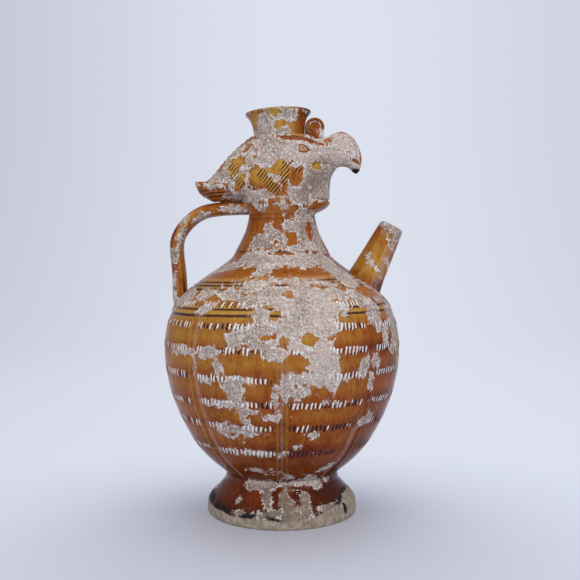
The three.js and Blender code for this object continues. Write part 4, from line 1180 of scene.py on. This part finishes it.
def makeSpout():
    piece = spinOutline("pourSpout", lippedOutline(spoutShape), spoutShape["steps"])
    places = readPlaces(piece)
    angle, radius, along = polar(places)
    facets = spoutShape["facetDepth"] * np.cos(spoutShape["facets"] * angle)
    places = moveOut(places, facets * ease(57, 50, along) * (radius > 10.9))
    x, height = leanOver(places, spoutShape["lean"])
    places = np.stack([x + spoutShape["root"][0], places[:, 1], height + spoutShape["root"][1]], 1)
    writePlaces(piece, places)
    writePlaces(piece, alongNormals(piece, places, 0.5 * handWobble(places)))
    tone = np.interp(along, spoutShape["toneAt"], spoutShape["tones"]) + 0.1 * softNoise(places, 9, 77)
    front = (angle - math.radians(spoutShape["paintedGlintTurn"])) * radius        # mm past the shine
    # Right of the glint the glaze is painted darker, most at the root: painted shade.
    tone = tone + (0.16 + 0.35 * bell(along - 3, 6)) * ease(1, 5, front) * (radius > 11)
    tone = tone + 0.12 * ease(-10, -14, front)
    # The shine is a painted highlight: the key lamp's glint as a thin pale gold line along the spout. The pale
    # band right of it is a painted reflection.
    paintedShine = bell(front, 0.55) * ease(2, 8, along) * ease(44, 36, along)
    finishPiece(piece, "spout", "amber_glaze", places, wornLimb(places), tone,
                chalk=0.3 * paintedShine, gold=0.9 * paintedShine, sheen=0.5 * ease(0, 3, front) * ease(12, 8, front))


for makeWrapped in (makeHead, makeCup, makeBeak, makeWattle, makePlume, makeCurl):
    makeWrapped()
makeEye("rightEye", "right_eye", -1)
makeEye("leftEye", "left_eye", 1)
makeBrow("rightBrow", "right_brow", -1)
makeBrow("leftBrow", "left_brow", 1)
makeHandle()
makeSpout()
print("head, handle and spout ready")


# Studio: a pale sweep, soft light and the camera

studio = {
    "paper": (0.68, 0.72, 0.845, 1), "paperPaintedShadow": (0.595, 0.615, 0.715, 1), "paperRough": 0.9,
    "sweep": {"front": -2600, "back": 1500, "bend": 1000, "top": 3600, "half": 4200, "grid": (24, 160)},
    "leftPart": (-1.5, 0.1), "rightPart": (0.2, 1.5), "paintedShadowPart": (0.05, 0.34), "litPart": (0.20, 0.50),
    "farLeft": (0.545, 0.56, 0.655, 1), "farMiddle": (0.72, 0.755, 0.855, 1),
    "farRight": (0.615, 0.64, 0.745, 1),
    "air": (0.97, 0.96, 0.98, 1), "airStrength": 0.43, "seen": (0.66, 0.69, 0.79, 1),
    "lamps": {
        "top": {"place": (0.05, 0.15, 1.55), "size": 1.5, "power": 8.1},
        "leftFill": {"place": (-2.2, -2.0, 1.1), "size": 3.0, "power": 18.6},
        "rightFill": {"place": (2.2, -2.0, 0.9), "size": 3.0, "power": 14.8},
        "rightSpark": {"place": (1.1, -1.7, 1.25), "size": 0.085, "power": 12},
        "leftSpark": {"place": (-1.1, -1.7, 1.25), "size": 0.09, "power": 5.5},
    },
    "aim": (0, 0, 0.19), "castsShadow": 0.5,
    "cameraPlace": (0, -0.792, 0.2297), "lens": 51.27, "sensor": 36, "pitch": 1.387, "yaw": -0.555,
}


def makeSweep():
    size = studio["sweep"]
    bend = size["bend"]
    runs = [size["back"] - size["front"], bend * math.pi / 2, size["top"] - bend]

    def shape(u, v):
        walk = v * sum(runs)
        angle = np.clip((walk - runs[0]) / bend, 0, math.pi / 2)
        y = size["front"] + np.minimum(walk, runs[0]) + bend * np.sin(angle)
        z = bend * (1 - np.cos(angle)) + np.maximum(walk - runs[0] - runs[1], 0)
        return np.stack([(u * 2 - 1) * size["half"], y, z], 1)

    sweep = wrapGrid("paleSweep", size["grid"], shape)
    finish = bpy.data.materials.new("palePaper")
    finish.use_nodes = True
    tree = finish.node_tree
    shader = tree.nodes["Principled BSDF"]
    shader.inputs["Roughness"].default_value = studio["paperRough"]
    place = addNode(tree, "ShaderNodeTexCoord").outputs["Object"]
    axes = addNode(tree, "ShaderNodeSeparateXYZ", {}, {0: place}).outputs
    # For the camera the far floor and wall glow, lighter in the middle than at either side: painted light on the
    # backdrop.
    left, right = (nodeEase(tree, axes["X"], *studio[name]) for name in ("leftPart", "rightPart"))
    far = mixColours(tree, left, studio["farLeft"], studio["farMiddle"])
    far = mixColours(tree, right, far, studio["farRight"])
    glow = addNode(tree, "ShaderNodeEmission", {}, {"Color": far, "Strength": 1.0})
    seen = addNode(tree, "ShaderNodeLightPath").outputs["Is Camera Ray"]
    flat = stretched(tree, place, (1, 1, 0), (0, 0.2, 0))        # measured from a place before the foot
    away = addNode(tree, "ShaderNodeVectorMath", {"operation": "LENGTH"}, {0: flat}).outputs["Value"]
    # Near the foot the paper is painted darker: a painted shadow round the vessel, laid over the lamps' own
    # shadows.
    near = mixColours(tree, nodeEase(tree, away, *studio["paintedShadowPart"]), studio["paperPaintedShadow"], studio["paper"])
    tree.links.new(near, shader.inputs["Base Color"])
    share = times(tree, seen, nodeEase(tree, away, *studio["litPart"]))
    mixed = addNode(tree, "ShaderNodeMixShader", {}, {0: share, 1: shader.outputs[0], 2: glow.outputs[0]})
    tree.links.new(mixed.outputs[0], tree.nodes["Material Output"].inputs["Surface"])
    sweep.data.materials.append(finish)
    bpy.ops.object.shade_smooth()


def addLamp(name, spot):
    clearSelection()
    bpy.ops.object.light_add(type="AREA", location=spot["place"])
    lamp = bpy.context.object
    lamp.name = name
    lamp.data.shape = "DISK"
    lamp.data.size = spot["size"]
    lamp.data.energy = spot["power"]
    lamp.data.use_shadow = spot["size"] > studio["castsShadow"]        # the sparks are there for their glints
    aim = np.array(studio["aim"]) - np.array(spot["place"])
    lamp.rotation_euler = (math.atan2(math.hypot(aim[0], aim[1]), -aim[2]), 0, math.atan2(-aim[0], aim[1]))


def makeStudio():
    makeSweep()
    for name, spot in studio["lamps"].items():
        addLamp(name, spot)
    world = bpy.data.worlds.new("paleRoom")
    world.use_nodes = True
    tree = world.node_tree
    air = tree.nodes["Background"]
    air.inputs["Color"].default_value = studio["air"]
    air.inputs["Strength"].default_value = studio["airStrength"]
    shown = addNode(tree, "ShaderNodeBackground", {}, {"Color": studio["seen"], "Strength": 1.0})
    seen = addNode(tree, "ShaderNodeLightPath").outputs["Is Camera Ray"]
    mixed = addNode(tree, "ShaderNodeMixShader", {}, {0: seen, 1: air.outputs[0], 2: shown.outputs[0]})
    tree.links.new(mixed.outputs[0], tree.nodes["World Output"].inputs["Surface"])
    bpy.context.scene.world = world
    clearSelection()
    bpy.ops.object.camera_add(location=studio["cameraPlace"], rotation=(
        math.radians(90 - studio["pitch"]), 0, math.radians(studio["yaw"])))
    camera = bpy.context.object
    camera.data.lens = studio["lens"]
    camera.data.sensor_width = studio["sensor"]
    bpy.context.scene.camera = camera
    bpy.context.scene.view_settings.view_transform = "Standard"


makeStudio()
print("studio ready")
